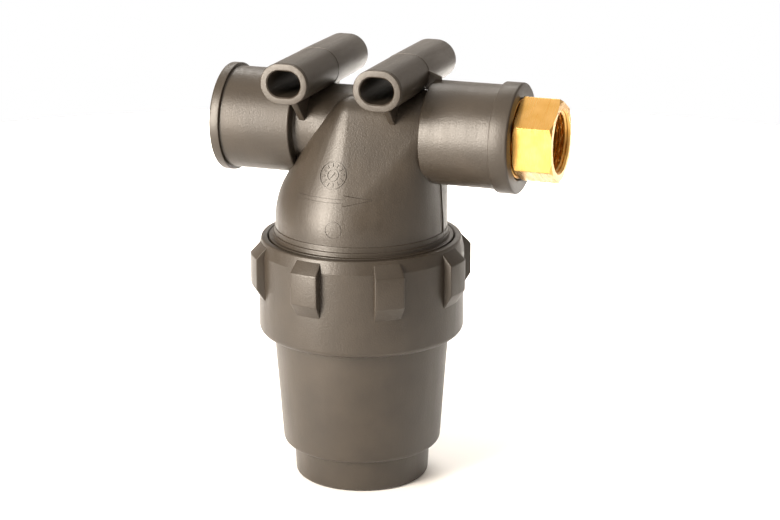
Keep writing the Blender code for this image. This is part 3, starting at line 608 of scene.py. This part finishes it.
def make_head():
    """The head's moulding: domed body, ports, mounting tubes, threaded skirt and inner duct."""
    head = hull("head_moulding", skin_points(0.0, SKIN_STEPS))
    step_top = FLANGE_TOP_Z + STEP_RING_HEIGHT
    base_top = step_top + BASE_RING_HEIGHT
    thread_top = FLANGE_TOP_Z - FLANGE_THICKNESS
    thread_bottom = thread_top - THREAD_LENGTH
    relief_bottom = thread_bottom - RELIEF_LENGTH
    relief_radius = THREAD_RADIUS - RELIEF_DEPTH
    nose_bottom = relief_bottom - NOSE_LENGTH
    groove_top = relief_bottom - GROOVE_BELOW_RELIEF + GROOVE_HALF_HEIGHT
    groove_bottom = relief_bottom - GROOVE_BELOW_RELIEF - GROOVE_HALF_HEIGHT
    groove_radius = NOSE_RADIUS - GROOVE_DEPTH
    skirt = soften(
        [
            (0.0, base_top),
            (HEAD_RADIUS + BASE_RING_PROUD, base_top, 0.3 * MM),
            (HEAD_RADIUS + BASE_RING_PROUD, step_top, 0.25 * MM),
            (STEP_RING_RADIUS, step_top, 0.4 * MM),
            (STEP_RING_RADIUS, FLANGE_TOP_Z, 0.25 * MM),
            (FLANGE_RADIUS, FLANGE_TOP_Z, 0.3 * MM),
            (FLANGE_RADIUS, thread_top, 0.3 * MM),
            (THREAD_RADIUS, thread_top - GAP, 0.0),
        ],
        SOFT_EDGE,
    )
    skirt += run(THREAD_RADIUS, thread_top - GAP, thread_bottom, 56)
    skirt += soften(
        [
            (THREAD_RADIUS - 0.05 * MM, thread_bottom - 0.05 * MM),
            (relief_radius, thread_bottom - RELIEF_DEPTH),
            (relief_radius, relief_bottom + relief_radius - NOSE_RADIUS),
            (NOSE_RADIUS, relief_bottom),
            (NOSE_RADIUS, groove_top),
            (groove_radius, groove_top),
            (groove_radius, groove_bottom),
            (NOSE_RADIUS, groove_bottom),
            (NOSE_RADIUS, nose_bottom, 1.0 * MM),
            (0.0, nose_bottom),
        ],
        SOFT_EDGE,
    )
    turns = thread(THREAD_PITCH, THREAD_DEPTH, thread_bottom, thread_top - GAP, THREAD_FADE)
    parts = [lathe("skirt", skirt, ROUND_STEPS, relief=turns)]
    inlet_ring = INLET_X + INLET_RING_WIDTH
    inlet_sleeve = INLET_X + INLET_SLEEVE_LENGTH
    inlet = [
        (0.0, NECK_REACH),
        (NECK_RADIUS, NECK_REACH),
        (NECK_RADIUS, inlet_sleeve, 0.8 * MM),
        (SLEEVE_RADIUS, inlet_sleeve, 0.7 * MM),
        (SLEEVE_RADIUS, inlet_ring, 0.25 * MM),
        (RING_RADIUS, inlet_ring, 0.35 * MM),
        (RING_RADIUS, INLET_X, 0.9 * MM),
        (0.0, INLET_X),
    ]
    parts.append(lathe("inlet", soften(inlet, SOFT_EDGE), ROUND_STEPS, PORT_FRAME))
    outlet_sleeve = OUTLET_X - OUTLET_SLEEVE_LENGTH
    outlet_ring = OUTLET_X - OUTLET_RING_WIDTH
    outlet = [
        (0.0, OUTLET_X),
        (RING_RADIUS, OUTLET_X, 0.9 * MM),
        (RING_RADIUS, outlet_ring, 0.35 * MM),
        (SLEEVE_RADIUS, outlet_ring, 0.25 * MM),
        (SLEEVE_RADIUS, outlet_sleeve, 0.7 * MM),
        (0.0, outlet_sleeve),
    ]
    parts.append(lathe("outlet", soften(outlet, SOFT_EDGE), ROUND_STEPS, PORT_FRAME))
    for away in (-1, 1):
        parts += make_tube(away)
    parts.append(slab("parting_ridge", skin_points(RIDGE_PROUD, SKIN_STEPS), RIDGE_HALF_WIDTH))
    combine(head, "UNION", parts)

    hollow = ball((0, 0, CROWN_Z), CHAMBER_RADIUS, BORE_STEPS)
    hollow += ball((ELBOW_OFFSET, 0, PORT_Z), CHAMBER_ELBOW_RADIUS, BORE_STEPS)
    chamber = hull("chamber", hollow)
    hole = [(0, thread_top), (NOSE_BORE, thread_top), (NOSE_BORE, 0), (0, 0)]
    nose = lathe("nose", hole, BORE_STEPS)
    hole = [(0, 0), (BORE_RADIUS, 0), (BORE_RADIUS, 2 * INLET_X), (0, 2 * INLET_X)]
    bore = lathe("bore", hole, BORE_STEPS, PORT_FRAME)
    combine(head, "DIFFERENCE", [chamber, nose, bore])
    duct = pipe("duct", duct_path(SPIGOT_Z, OUTLET_X / 2), DUCT_RADIUS, BORE_STEPS)
    flange = [
        (BORE_RADIUS + GAP, SPIGOT_FLANGE_TOP_Z),
        (SPIGOT_FLANGE_RADIUS, SPIGOT_FLANGE_TOP_Z),
        (SPIGOT_FLANGE_RADIUS, SPIGOT_FLANGE_BOTTOM_Z),
        (BORE_RADIUS + GAP, SPIGOT_FLANGE_BOTTOM_Z),
    ]
    ring = lathe("spigot_flange", soften(flange, SOFT_EDGE, closed=True), BORE_STEPS, closed=True)
    combine(head, "UNION", [duct, ring])
    outlet_bore = pipe("outlet_bore", duct_path(0.0, 2 * OUTLET_X), BORE_RADIUS, BORE_STEPS)
    cutters = [outlet_bore]
    for end, away in ((INLET_X, -1), (OUTLET_X, 1)):
        inner = end - away * (INSERT_LENGTH + 2 * GAP)
        pocket = [
            (0.0, inner),
            (HOUSING_RADIUS, inner),
            (HOUSING_RADIUS, end - away * HOUSING_CHAMFER),
            (HOUSING_RADIUS + HOUSING_CHAMFER, end),
            (HOUSING_RADIUS + HOUSING_CHAMFER, end + away * MM),
            (0.0, end + away * MM),
        ]
        cutters.append(lathe("pocket", pocket, BORE_STEPS, PORT_FRAME))
        cutters.append(make_slot(away))
    combine(head, "DIFFERENCE", cutters)
    return smooth(head)


def make_tube(away):
    """One mounting tube, slightly drafted from the parting plane, with its gusset and fin."""
    x = away * TUBE_X
    across = Matrix.Translation((x, 0, TUBE_Z)) @ Matrix.Rotation(math.pi / 2, 4, "X")
    steps = 28
    edge = 0.45 * MM
    draft = 0.22 * MM
    step = 0.16 * MM
    lip = 0.22 * MM
    rows = []
    for k in range(EDGE_STEPS + 1):
        angle = math.pi / 2 * k / EDGE_STEPS
        rows.append((TUBE_END_Y - edge + edge * math.cos(angle), draft + edge - edge * math.sin(angle)))
    rows += [
        (TUBE_END_Y - 1.15 * MM, draft),
        (TUBE_END_Y - 1.35 * MM, draft + lip),
        (TUBE_END_Y - 1.75 * MM, draft + lip),
        (TUBE_END_Y - 2.0 * MM, draft + 0.03 * MM),
        (0.3 * MM, step),
        (0.0, step),
        (-0.05 * MM, 0.0),
        (-0.3 * MM, 0.0),
    ]
    for k in range(EDGE_STEPS + 1):
        angle = math.pi / 2 * (1 - k / EDGE_STEPS)
        rows.append((-TUBE_END_Y + edge - edge * math.cos(angle), draft + edge - edge * math.sin(angle)))
    sections = []
    for height, inset in rows:
        sections.append((outline(TUBE_WIDTH - 2 * inset, TUBE_HEIGHT - 2 * inset, steps), height))
    tube = loft("tube", sections, across)
    top = TUBE_HEIGHT / -2 + TUBE_WALL / 2
    gusset = [
        (-GUSSET_REACH, top),
        (-GUSSET_FOOT, -GUSSET_DEPTH),
        (GUSSET_FOOT, -GUSSET_DEPTH),
        (GUSSET_REACH, top),
    ]
    turned = Matrix.Rotation(math.pi / 2, 4, "Z") @ Matrix.Rotation(math.pi / 2, 4, "X")
    web = block("gusset", gusset, GUSSET_THICKNESS, Matrix.Translation((x, 0, TUBE_Z)) @ turned, 0.5 * MM)
    flank = away * (TUBE_WIDTH / 2 - TUBE_WALL / 2)
    tip = flank + away * FIN_REACH
    fin = [(flank, FIN_RISE), (flank, -FIN_DROP), (tip, -FIN_DROP), (tip, 0.0)]
    blade = block("fin", fin, FIN_THICKNESS, across, SOFT_EDGE)
    return [tube, web, blade]


def make_slot(away):
    """The slotted hole through a mounting tube, a little wider at both mouths."""
    across = Matrix.Translation((away * TUBE_X, 0, TUBE_Z)) @ Matrix.Rotation(math.pi / 2, 4, "X")
    width = TUBE_WIDTH - 2 * TUBE_WALL
    height = TUBE_HEIGHT - 2 * TUBE_WALL
    rows = [(-TUBE_END_Y - MM, SLOT_FLARE), (-TUBE_END_Y, SLOT_FLARE), (-TUBE_END_Y + SLOT_FLARE, 0.0)]
    rows += [(TUBE_END_Y - SLOT_FLARE, 0.0), (TUBE_END_Y, SLOT_FLARE), (TUBE_END_Y + MM, SLOT_FLARE)]
    sections = [(outline(width + 2 * more, height + 2 * more, 24), level) for level, more in rows]
    return loft("slot", sections, across)


def make_bowl():
    """The screw-on bowl with its foot, collar and grip lugs."""
    bore_shoulder = COLLAR_BOTTOM_Z + BOWL_WALL
    relief_bottom = FLANGE_TOP_Z - FLANGE_THICKNESS - THREAD_LENGTH - RELIEF_LENGTH - GAP
    thread_bore = THREAD_RADIUS + GAP
    flange_bore = FLANGE_RADIUS + GAP
    centring_outer = CENTRING_RADIUS + CENTRING_WALL
    inside = [
        (0.0, BOWL_FLOOR),
        (CENTRING_RADIUS, BOWL_FLOOR),
        (CENTRING_RADIUS, CENTRING_TOP_Z),
        (centring_outer, CENTRING_TOP_Z),
        (centring_outer, BOWL_FLOOR),
        (FOOT_BOTTOM_BORE, BOWL_FLOOR, 2.0 * MM),
        (FOOT_TOP_BORE, FOOT_HEIGHT, 1.0 * MM),
        (BOWL_BOTTOM_BORE, FOOT_HEIGHT + BOWL_WALL, 3.0 * MM),
        (BOWL_TOP_BORE, bore_shoulder, 1.0 * MM),
        (BOWL_NOSE_BORE, bore_shoulder + BOWL_NOSE_BORE - BOWL_TOP_BORE),
        (BOWL_NOSE_BORE, relief_bottom),
        (thread_bore, relief_bottom + thread_bore - BOWL_NOSE_BORE),
        (thread_bore, RIM_Z - 2.45 * MM),
        (flange_bore, RIM_Z - 2.1 * MM),
        (flange_bore, RIM_Z - 0.7 * MM, 0.3 * MM),
        (flange_bore + 0.7 * MM, RIM_Z, 0.4 * MM),
    ]
    outside = [
        (RIM_RADIUS, RIM_Z, 0.9 * MM),
        (COLLAR_RADIUS, RIM_Z - RIM_BAND_HEIGHT, 0.4 * MM),
        (COLLAR_RADIUS, COLLAR_BOTTOM_Z, COLLAR_ROUNDING),
        (BOWL_TOP_RADIUS + GAP, COLLAR_BOTTOM_Z, 0.0),
        (BOWL_TOP_RADIUS, COLLAR_BOTTOM_Z - GAP, 0.5 * MM),
        (BOWL_BOTTOM_RADIUS, FOOT_HEIGHT, 3.0 * MM),
        (FOOT_TOP_RADIUS, FOOT_HEIGHT, 0.5 * MM),
        (FOOT_BOTTOM_RADIUS, 0.0, 2.0 * MM),
        (0.0, 0.0),
    ]
    bowl = lathe("bowl_moulding", soften(inside + outside, 0.4 * MM, steps=6), FINE_STEPS)
    lugs = [make_lug(LUG_START + 2 * math.pi * i / LUG_COUNT) for i in range(LUG_COUNT)]
    combine(bowl, "UNION", lugs)
    return smooth(bowl)


def make_lug(middle):
    """A grip lug with radial sides and slightly softened edges."""
    section = [
        (LUG_ROOT_RADIUS, LUG_TOP_Z),
        (RIM_RADIUS, LUG_TOP_Z),
        (LUG_RADIUS, LUG_FACE_TOP_Z),
        (LUG_RADIUS, LUG_FACE_BOTTOM_Z),
        (COLLAR_RADIUS - GAP, LUG_BOTTOM_Z),
        (LUG_ROOT_RADIUS, LUG_BOTTOM_Z),
    ]
    start = Matrix.Rotation(middle - LUG_ANGLE / 2, 3, "Z")
    shape = bmesh.new()
    corners = [shape.verts.new(start @ Vector((radius, 0.0, height))) for radius, height in section]
    face = shape.faces.new(corners)
    bmesh.ops.spin(
        shape,
        geom=[face] + list(face.edges) + corners,
        cent=(0, 0, 0),
        axis=(0, 0, 1),
        angle=LUG_ANGLE,
        steps=10,
    )
    bmesh.ops.recalc_face_normals(shape, faces=shape.faces)
    sharp = [e for e in shape.edges if len(e.link_faces) == 2 and e.calc_face_angle() > math.radians(20)]
    bmesh.ops.bevel(shape, geom=sharp, offset=0.35 * MM, segments=3, profile=0.5, affect="EDGES")
    return shape_object("lug", shape)


def make_adapter():
    """The brass hexagon with its threaded socket and shank."""
    seat = OUTLET_X + GAP
    face = HEX_END_X
    length = face - seat
    corner = HEX_ACROSS_FLATS / 2 / math.cos(math.pi / 6)
    shape = bmesh.new()
    bmesh.ops.create_cone(
        shape,
        cap_ends=True,
        segments=6,
        radius1=corner,
        radius2=corner,
        depth=length,
        matrix=Matrix.Translation((0, 0, (seat + face) / 2)) @ Matrix.Rotation(HEX_TURN, 4, "Z"),
    )
    upright = [e for e in shape.edges if abs((e.verts[0].co - e.verts[1].co).z) > length / 2]
    bmesh.ops.bevel(shape, geom=upright, offset=SOFT_EDGE, segments=3, profile=0.5, affect="EDGES")
    shape.transform(PORT_FRAME)
    adapter = shape_object("brass_adapter", shape)
    spread = corner + MM
    slope = math.tan(HEX_CHAMFER_ANGLE)
    fall = (spread - HEX_CHAMFER_RADIUS) * slope
    tip = HEX_CHAMFER_RADIUS - GAP / slope
    cones = [
        (0.0, face + GAP),
        (tip, face + GAP),
        (spread, face - fall),
        (spread, seat + fall),
        (tip, seat - GAP),
        (0.0, seat - GAP),
    ]
    combine(adapter, "INTERSECT", [lathe("cones", cones, FINE_STEPS, PORT_FRAME)])
    shank = [(0.0, seat + MM), (SHANK_RADIUS, seat + MM), (SHANK_RADIUS, SHANK_END_X), (0.0, SHANK_END_X)]
    combine(adapter, "UNION", [lathe("shank", soften(shank, 0.8 * MM), BORE_STEPS, PORT_FRAME)])
    mouth = SOCKET_RADIUS + 0.7 * MM
    top = face - 0.8 * MM
    bottom = face - SOCKET_DEPTH
    bore = [(0.0, face + MM), (mouth + MM, face + MM), (mouth, face)]
    bore += run(SOCKET_RADIUS, top, bottom + MM, 90)
    bore += [
        (SOCKET_RADIUS, bottom),
        (SHANK_BORE, bottom - 2 * MM),
        (SHANK_BORE, SHANK_END_X - MM),
        (0.0, SHANK_END_X - MM),
    ]
    turns = thread(PIPE_PITCH, PIPE_THREAD_DEPTH, bottom + MM, top, PIPE_FADE)
    combine(adapter, "DIFFERENCE", [lathe("socket", bore, ROUND_STEPS, PORT_FRAME, relief=turns)])
    return smooth(adapter, 24)


def make_insert(name, outer, away):
    """A threaded brass bush in a sleeve's end; away points out of the port."""
    inner = outer - away * INSERT_LENGTH
    high, low = max(outer, inner), min(outer, inner)
    middle = (high + low) / 2
    mouth = INSERT_BORE + 0.9 * MM
    thread_low, thread_high = low + 0.9 * MM, high - 0.9 * MM
    body = [
        (mouth, high),
        (INSERT_RADIUS, high),
        (INSERT_RADIUS, middle + INSERT_GROOVE_HALF),
        (INSERT_RADIUS - MM, middle + INSERT_GROOVE_HALF),
        (INSERT_RADIUS - MM, middle - INSERT_GROOVE_HALF),
        (INSERT_RADIUS, middle - INSERT_GROOVE_HALF),
        (INSERT_RADIUS, low),
        (mouth, low),
    ]
    profile = soften(body, SOFT_EDGE) + run(INSERT_BORE, thread_low, thread_high, 110)
    turns = thread(PIPE_PITCH, PIPE_THREAD_DEPTH, thread_low, thread_high, PIPE_FADE)

    def relief(angle, radius, height):
        return turns(angle, radius, height) if radius < INSERT_BORE + 0.1 * MM else radius

    bush = lathe(name, profile, 128, PORT_FRAME, closed=True, relief=relief)
    return smooth(bush, 40)


def shader_of(name):
    """A new material, its node tree and the tree's shader."""
    material = bpy.data.materials.new(name)
    material.use_nodes = True
    tree = material.node_tree
    shader = tree.nodes["Principled BSDF"]
    return material, tree, shader


def add_node(tree, kind, **values):
    """A new node; a value sets the node's setting of that name, or else its input."""
    node = tree.nodes.new(kind)
    for key, value in values.items():
        if hasattr(node, key):
            setattr(node, key, value)
        else:
            node.inputs[key].default_value = value
    return node


def noise(tree, source, scale, detail, stretch=(1, 1, 1), rough=0.5):
    """Noise over stretched coordinates, with the scale in features per metre."""
    mapping = add_node(tree, "ShaderNodeMapping")
    mapping.inputs["Scale"].default_value = stretch
    tree.links.new(source, mapping.inputs["Vector"])
    made = add_node(tree, "ShaderNodeTexNoise")
    made.inputs["Scale"].default_value = scale
    made.inputs["Detail"].default_value = detail
    made.inputs["Roughness"].default_value = rough
    tree.links.new(mapping.outputs["Vector"], made.inputs["Vector"])
    return made.outputs["Fac"]


def remap(tree, value, low, high, to_low, to_high):
    """Maps one range of a value to another and stops at its ends."""
    node = add_node(tree, "ShaderNodeMapRange")
    tree.links.new(value, node.inputs["Value"])
    node.inputs["From Min"].default_value = low
    node.inputs["From Max"].default_value = high
    node.inputs["To Min"].default_value = to_low
    node.inputs["To Max"].default_value = to_high
    return node.outputs["Result"]


def mix_colour(tree, share, first, second):
    """A colour between two colours."""
    node = add_node(tree, "ShaderNodeMix", data_type="RGBA")
    tree.links.new(share, node.inputs["Factor"])
    node.inputs[6].default_value = (*first, 1.0)
    node.inputs[7].default_value = (*second, 1.0)
    return node.outputs[2]


def join_heights(tree, first, second, weight):
    """The first value plus the second times a weight."""
    node = add_node(tree, "ShaderNodeMath", operation="MULTIPLY_ADD")
    tree.links.new(second, node.inputs[0])
    node.inputs[1].default_value = weight
    tree.links.new(first, node.inputs[2])
    return node.outputs[0]


def bump(tree, shader, height, strength, distance):
    """Fine relief in a material's surface."""
    node = add_node(tree, "ShaderNodeBump")
    node.inputs["Strength"].default_value = strength
    node.inputs["Distance"].default_value = distance
    tree.links.new(height, node.inputs["Height"])
    tree.links.new(node.outputs["Normal"], shader.inputs["Normal"])


def nylon(name, streaks):
    """Glass-filled nylon: mottled colour, fine fibres and uneven satin gloss."""
    material, tree, shader = shader_of(name)
    place = add_node(tree, "ShaderNodeTexCoord").outputs["Object"]
    cloudy = noise(tree, place, 70.0, 4.0)
    fine = noise(tree, place, 1500.0, 3.0)
    flow = noise(tree, place, 40.0, 4.0, stretch=streaks, rough=0.6)
    colour = mix_colour(tree, remap(tree, cloudy, 0.3, 0.7, 0.0, 1.0), NYLON_DARK, NYLON_LIGHT)
    tree.links.new(colour, shader.inputs["Base Color"])
    gloss = join_heights(tree, remap(tree, flow, 0.3, 0.7, 0.29, 0.38), fine, 0.12)
    tree.links.new(gloss, shader.inputs["Roughness"])
    height = join_heights(tree, fine, flow, 0.3)
    bump(tree, shader, height, 0.7, 0.12 * MM)
    shader.inputs["Specular IOR Level"].default_value = 0.5
    return material


def brass_metal(name, streaks):
    """Machined brass with fine tool marks and slight tarnish."""
    material, tree, shader = shader_of(name)
    place = add_node(tree, "ShaderNodeTexCoord").outputs["Object"]
    cloudy = noise(tree, place, 160.0, 3.0)
    marks = noise(tree, place, 60.0, 4.0, stretch=streaks)
    colour = mix_colour(tree, remap(tree, cloudy, 0.35, 0.7, 0.0, 1.0), BRASS_CLEAN, BRASS_DULL)
    tree.links.new(colour, shader.inputs["Base Color"])
    tree.links.new(remap(tree, marks, 0.3, 0.7, 0.20, 0.34), shader.inputs["Roughness"])
    shader.inputs["Metallic"].default_value = 1.0
    bump(tree, shader, marks, 0.2, 0.02 * MM)
    return material


def plain_plastic(name, dark, light, rough_low, rough_high):
    """Moulded plastic or rubber for the parts inside."""
    material, tree, shader = shader_of(name)
    place = add_node(tree, "ShaderNodeTexCoord").outputs["Object"]
    cloudy = noise(tree, place, 120.0, 3.0)
    fine = noise(tree, place, 1800.0, 2.0)
    tree.links.new(mix_colour(tree, cloudy, dark, light), shader.inputs["Base Color"])
    tree.links.new(remap(tree, fine, 0.3, 0.7, rough_low, rough_high), shader.inputs["Roughness"])
    bump(tree, shader, fine, 0.3, 0.03 * MM)
    return material


def steel_mesh(name):
    """Stainless wire cloth: crossing wires in bump and roughness, with painted shade in the troughs between
    wires.
    """
    material, tree, shader = shader_of(name)
    place = add_node(tree, "ShaderNodeTexCoord").outputs["Object"]
    wires = add_node(tree, "ShaderNodeTexWave", wave_type="BANDS", bands_direction="Z")
    wires.inputs["Scale"].default_value = 700.0
    tree.links.new(place, wires.inputs["Vector"])
    cross = add_node(tree, "ShaderNodeTexWave", wave_type="BANDS", bands_direction="DIAGONAL")
    cross.inputs["Scale"].default_value = 500.0
    tree.links.new(place, cross.inputs["Vector"])
    height = join_heights(tree, wires.outputs["Fac"], cross.outputs["Fac"], 1.0)
    # painted shade: the colour is darker where the wire height is low, between the wires, and lighter on the
    # crests
    colour = mix_colour(tree, remap(tree, height, 0.2, 1.6, 0.0, 1.0), STEEL_TROUGH_SHADE, STEEL_CREST)
    tree.links.new(colour, shader.inputs["Base Color"])
    tree.links.new(remap(tree, height, 0.2, 1.6, 0.45, 0.25), shader.inputs["Roughness"])
    shader.inputs["Metallic"].default_value = 1.0
    bump(tree, shader, height, 0.6, 0.08 * MM)
    return material


def dress(item, material, body, slot_name, *nodes):
    """Gives a piece its material and body, and lets it stand for its solids; the slot name is not used."""
    item.data.materials.clear()
    item.data.materials.append(material)
    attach(item, body)
    if nodes:
        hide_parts(*nodes)
    return item


def make_camera():
    """The photograph's viewpoint, found from the outline of the part."""
    turn = math.radians(19.57)
    rise = math.radians(16.7)
    right = Vector((math.cos(turn), math.sin(turn), 0))
    back = Vector((math.sin(turn) * math.cos(rise), -math.cos(turn) * math.cos(rise), math.sin(rise)))
    up = back.cross(right)
    aim = Vector((0, 0, 109.9 * MM))
    distance = 927.0 * MM
    camera = bpy.data.cameras.new("photo_camera")
    camera.sensor_width = 36.0
    camera.lens = 97.62
    camera.clip_start = 0.01
    camera.clip_end = 50.0
    item = link_object("photo_camera", camera)
    place = aim + 12.587 * MM * right - 11.649 * MM * up + distance * back
    item.matrix_world = Matrix.Translation(place) @ Matrix((right, up, back)).transposed().to_4x4()
    bpy.context.scene.camera = item
    return up, back


def area_light(name, place, target, wide, tall, power, colour):
    """A soft rectangular lamp that faces its target."""
    lamp = bpy.data.lights.new(name, "AREA")
    lamp.shape = "RECTANGLE"
    lamp.size = wide
    lamp.size_y = tall
    lamp.energy = power
    lamp.color = colour
    item = link_object(name, lamp)
    item.location = place
    item.rotation_euler = (Vector(target) - Vector(place)).to_track_quat("-Z", "Y").to_euler()
    return item


def make_surround():
    """A warm white surround that lights the part, and that the camera sees as plain white."""
    world = bpy.data.worlds.new("studio")
    bpy.context.scene.world = world
    world.use_nodes = True
    tree = world.node_tree
    light = tree.nodes["Background"]
    light.inputs["Color"].default_value = (1.0, 0.88, 0.76, 1.0)
    light.inputs["Strength"].default_value = 0.55
    seen = add_node(tree, "ShaderNodeBackground")
    seen.inputs["Color"].default_value = (*WHITE, 1.0)
    seen.inputs["Strength"].default_value = 1.0
    path = add_node(tree, "ShaderNodeLightPath")
    mixed = add_node(tree, "ShaderNodeMixShader")
    tree.links.new(path.outputs["Is Camera Ray"], mixed.inputs["Fac"])
    tree.links.new(light.outputs["Background"], mixed.inputs[1])
    tree.links.new(seen.outputs["Background"], mixed.inputs[2])
    tree.links.new(mixed.outputs["Shader"], tree.nodes["World Output"].inputs["Surface"])


def make_floor():
    """A round pale floor whose far edge lies just behind the part."""
    radius = 0.75
    steps = 48
    around = [2 * math.pi * k / steps for k in range(steps)]
    rim = [Vector((radius * math.cos(angle), radius * math.sin(angle), 0)) for angle in around]
    floor = add_mesh("floor", rim, [tuple(range(steps))])
    material, tree, shader = shader_of("pale_floor")
    place = add_node(tree, "ShaderNodeTexCoord").outputs["Object"]
    grain = noise(tree, place, 30.0, 2.0)
    tree.links.new(mix_colour(tree, grain, FLOOR_DARK, FLOOR_LIGHT), shader.inputs["Base Color"])
    shader.inputs["Roughness"].default_value = 0.8
    shader.inputs["Specular IOR Level"].default_value = 0.2
    floor.data.materials.append(material)


def make_lamps(up, back):
    """A tall key lamp on the left, and wide lamps behind, above and over the floor."""
    aside = math.radians(31)
    away = 0.8
    height = 0.39
    key = Vector((-away * math.sin(aside), -away * math.cos(aside), height))
    area_light("key", key, (0, 0, height), 0.36, 0.74, 25.0, WARM)
    centre = Vector((0.0, 0.0, 0.11))
    backdrop = centre - back * 1.1 + up * 0.1
    area_light("backdrop", backdrop, centre, 1.8, 1.4, 4.0, (1.0, 0.93, 0.85))
    behind = -Vector((back.x, back.y, 0)).normalized()
    over = behind * 0.9 + Vector((0, 0, 0.8))
    glow = area_light("floor_glow", over, behind * 0.6, 1.3, 0.5, 10.5, (1.0, 0.96, 0.90))
    glow.data.spread = math.radians(70)
    area_light("ceiling", Vector((0, 0, 1.7)), (0, 0, 0), 2.4, 2.4, 12.0, WARM)


def make_materials():
    """Every material by what it is for; the streaks of plastic and brass run across the stretched axes."""
    return {
        "head": nylon("head_nylon", (12.0, 1.0, 1.0)),
        "bowl": nylon("bowl_nylon", (6.0, 6.0, 0.6)),
        "brass": brass_metal("machined_brass", (12.0, 1.0, 1.0)),
        "rubber": plain_plastic("seal_rubber", (0.012, 0.012, 0.012), (0.02, 0.02, 0.02), 0.5, 0.7),
        "cartridge": plain_plastic("cartridge_plastic", (0.03, 0.08, 0.26), (0.04, 0.11, 0.33), 0.32, 0.45),
        "steel": steel_mesh("stainless_mesh"),
    }


def main():
    """Stage, materials and pieces; the hidden pieces keep their solids' meshes."""
    up, back = make_camera()
    make_surround()
    make_floor()
    make_lamps(up, back)
    bpy.context.scene.view_settings.view_transform = "Standard"
    looks = make_materials()
    dress(make_head(), looks["head"], "head", "head_nylon", "head")
    for mark in make_marks():
        dress(mark, looks["head"], "head", "head_nylon")
    dress(make_bowl(), looks["bowl"], "bowl", "bowl_nylon", "bowl")
    dress(make_adapter(), looks["brass"], "head", "brass", "outlet_adapter")
    dress(make_insert("inlet_bush", INLET_X + GAP, -1), looks["brass"], "head", "brass", "inlet_insert")
    dress(make_insert("outlet_bush", OUTLET_X - GAP, 1), looks["brass"], "head", "brass", "outlet_insert")
    for node, material in (
        ("bowl_seal", looks["rubber"]),
        ("cartridge_gasket", looks["rubber"]),
        ("cartridge_top_cap", looks["cartridge"]),
        ("cartridge_bottom_cap", looks["cartridge"]),
        ("cartridge_cage", looks["cartridge"]),
        ("cartridge_mesh", looks["steel"]),
    ):
        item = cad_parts[node]
        item.data.materials.clear()
        item.data.materials.append(material)


main()
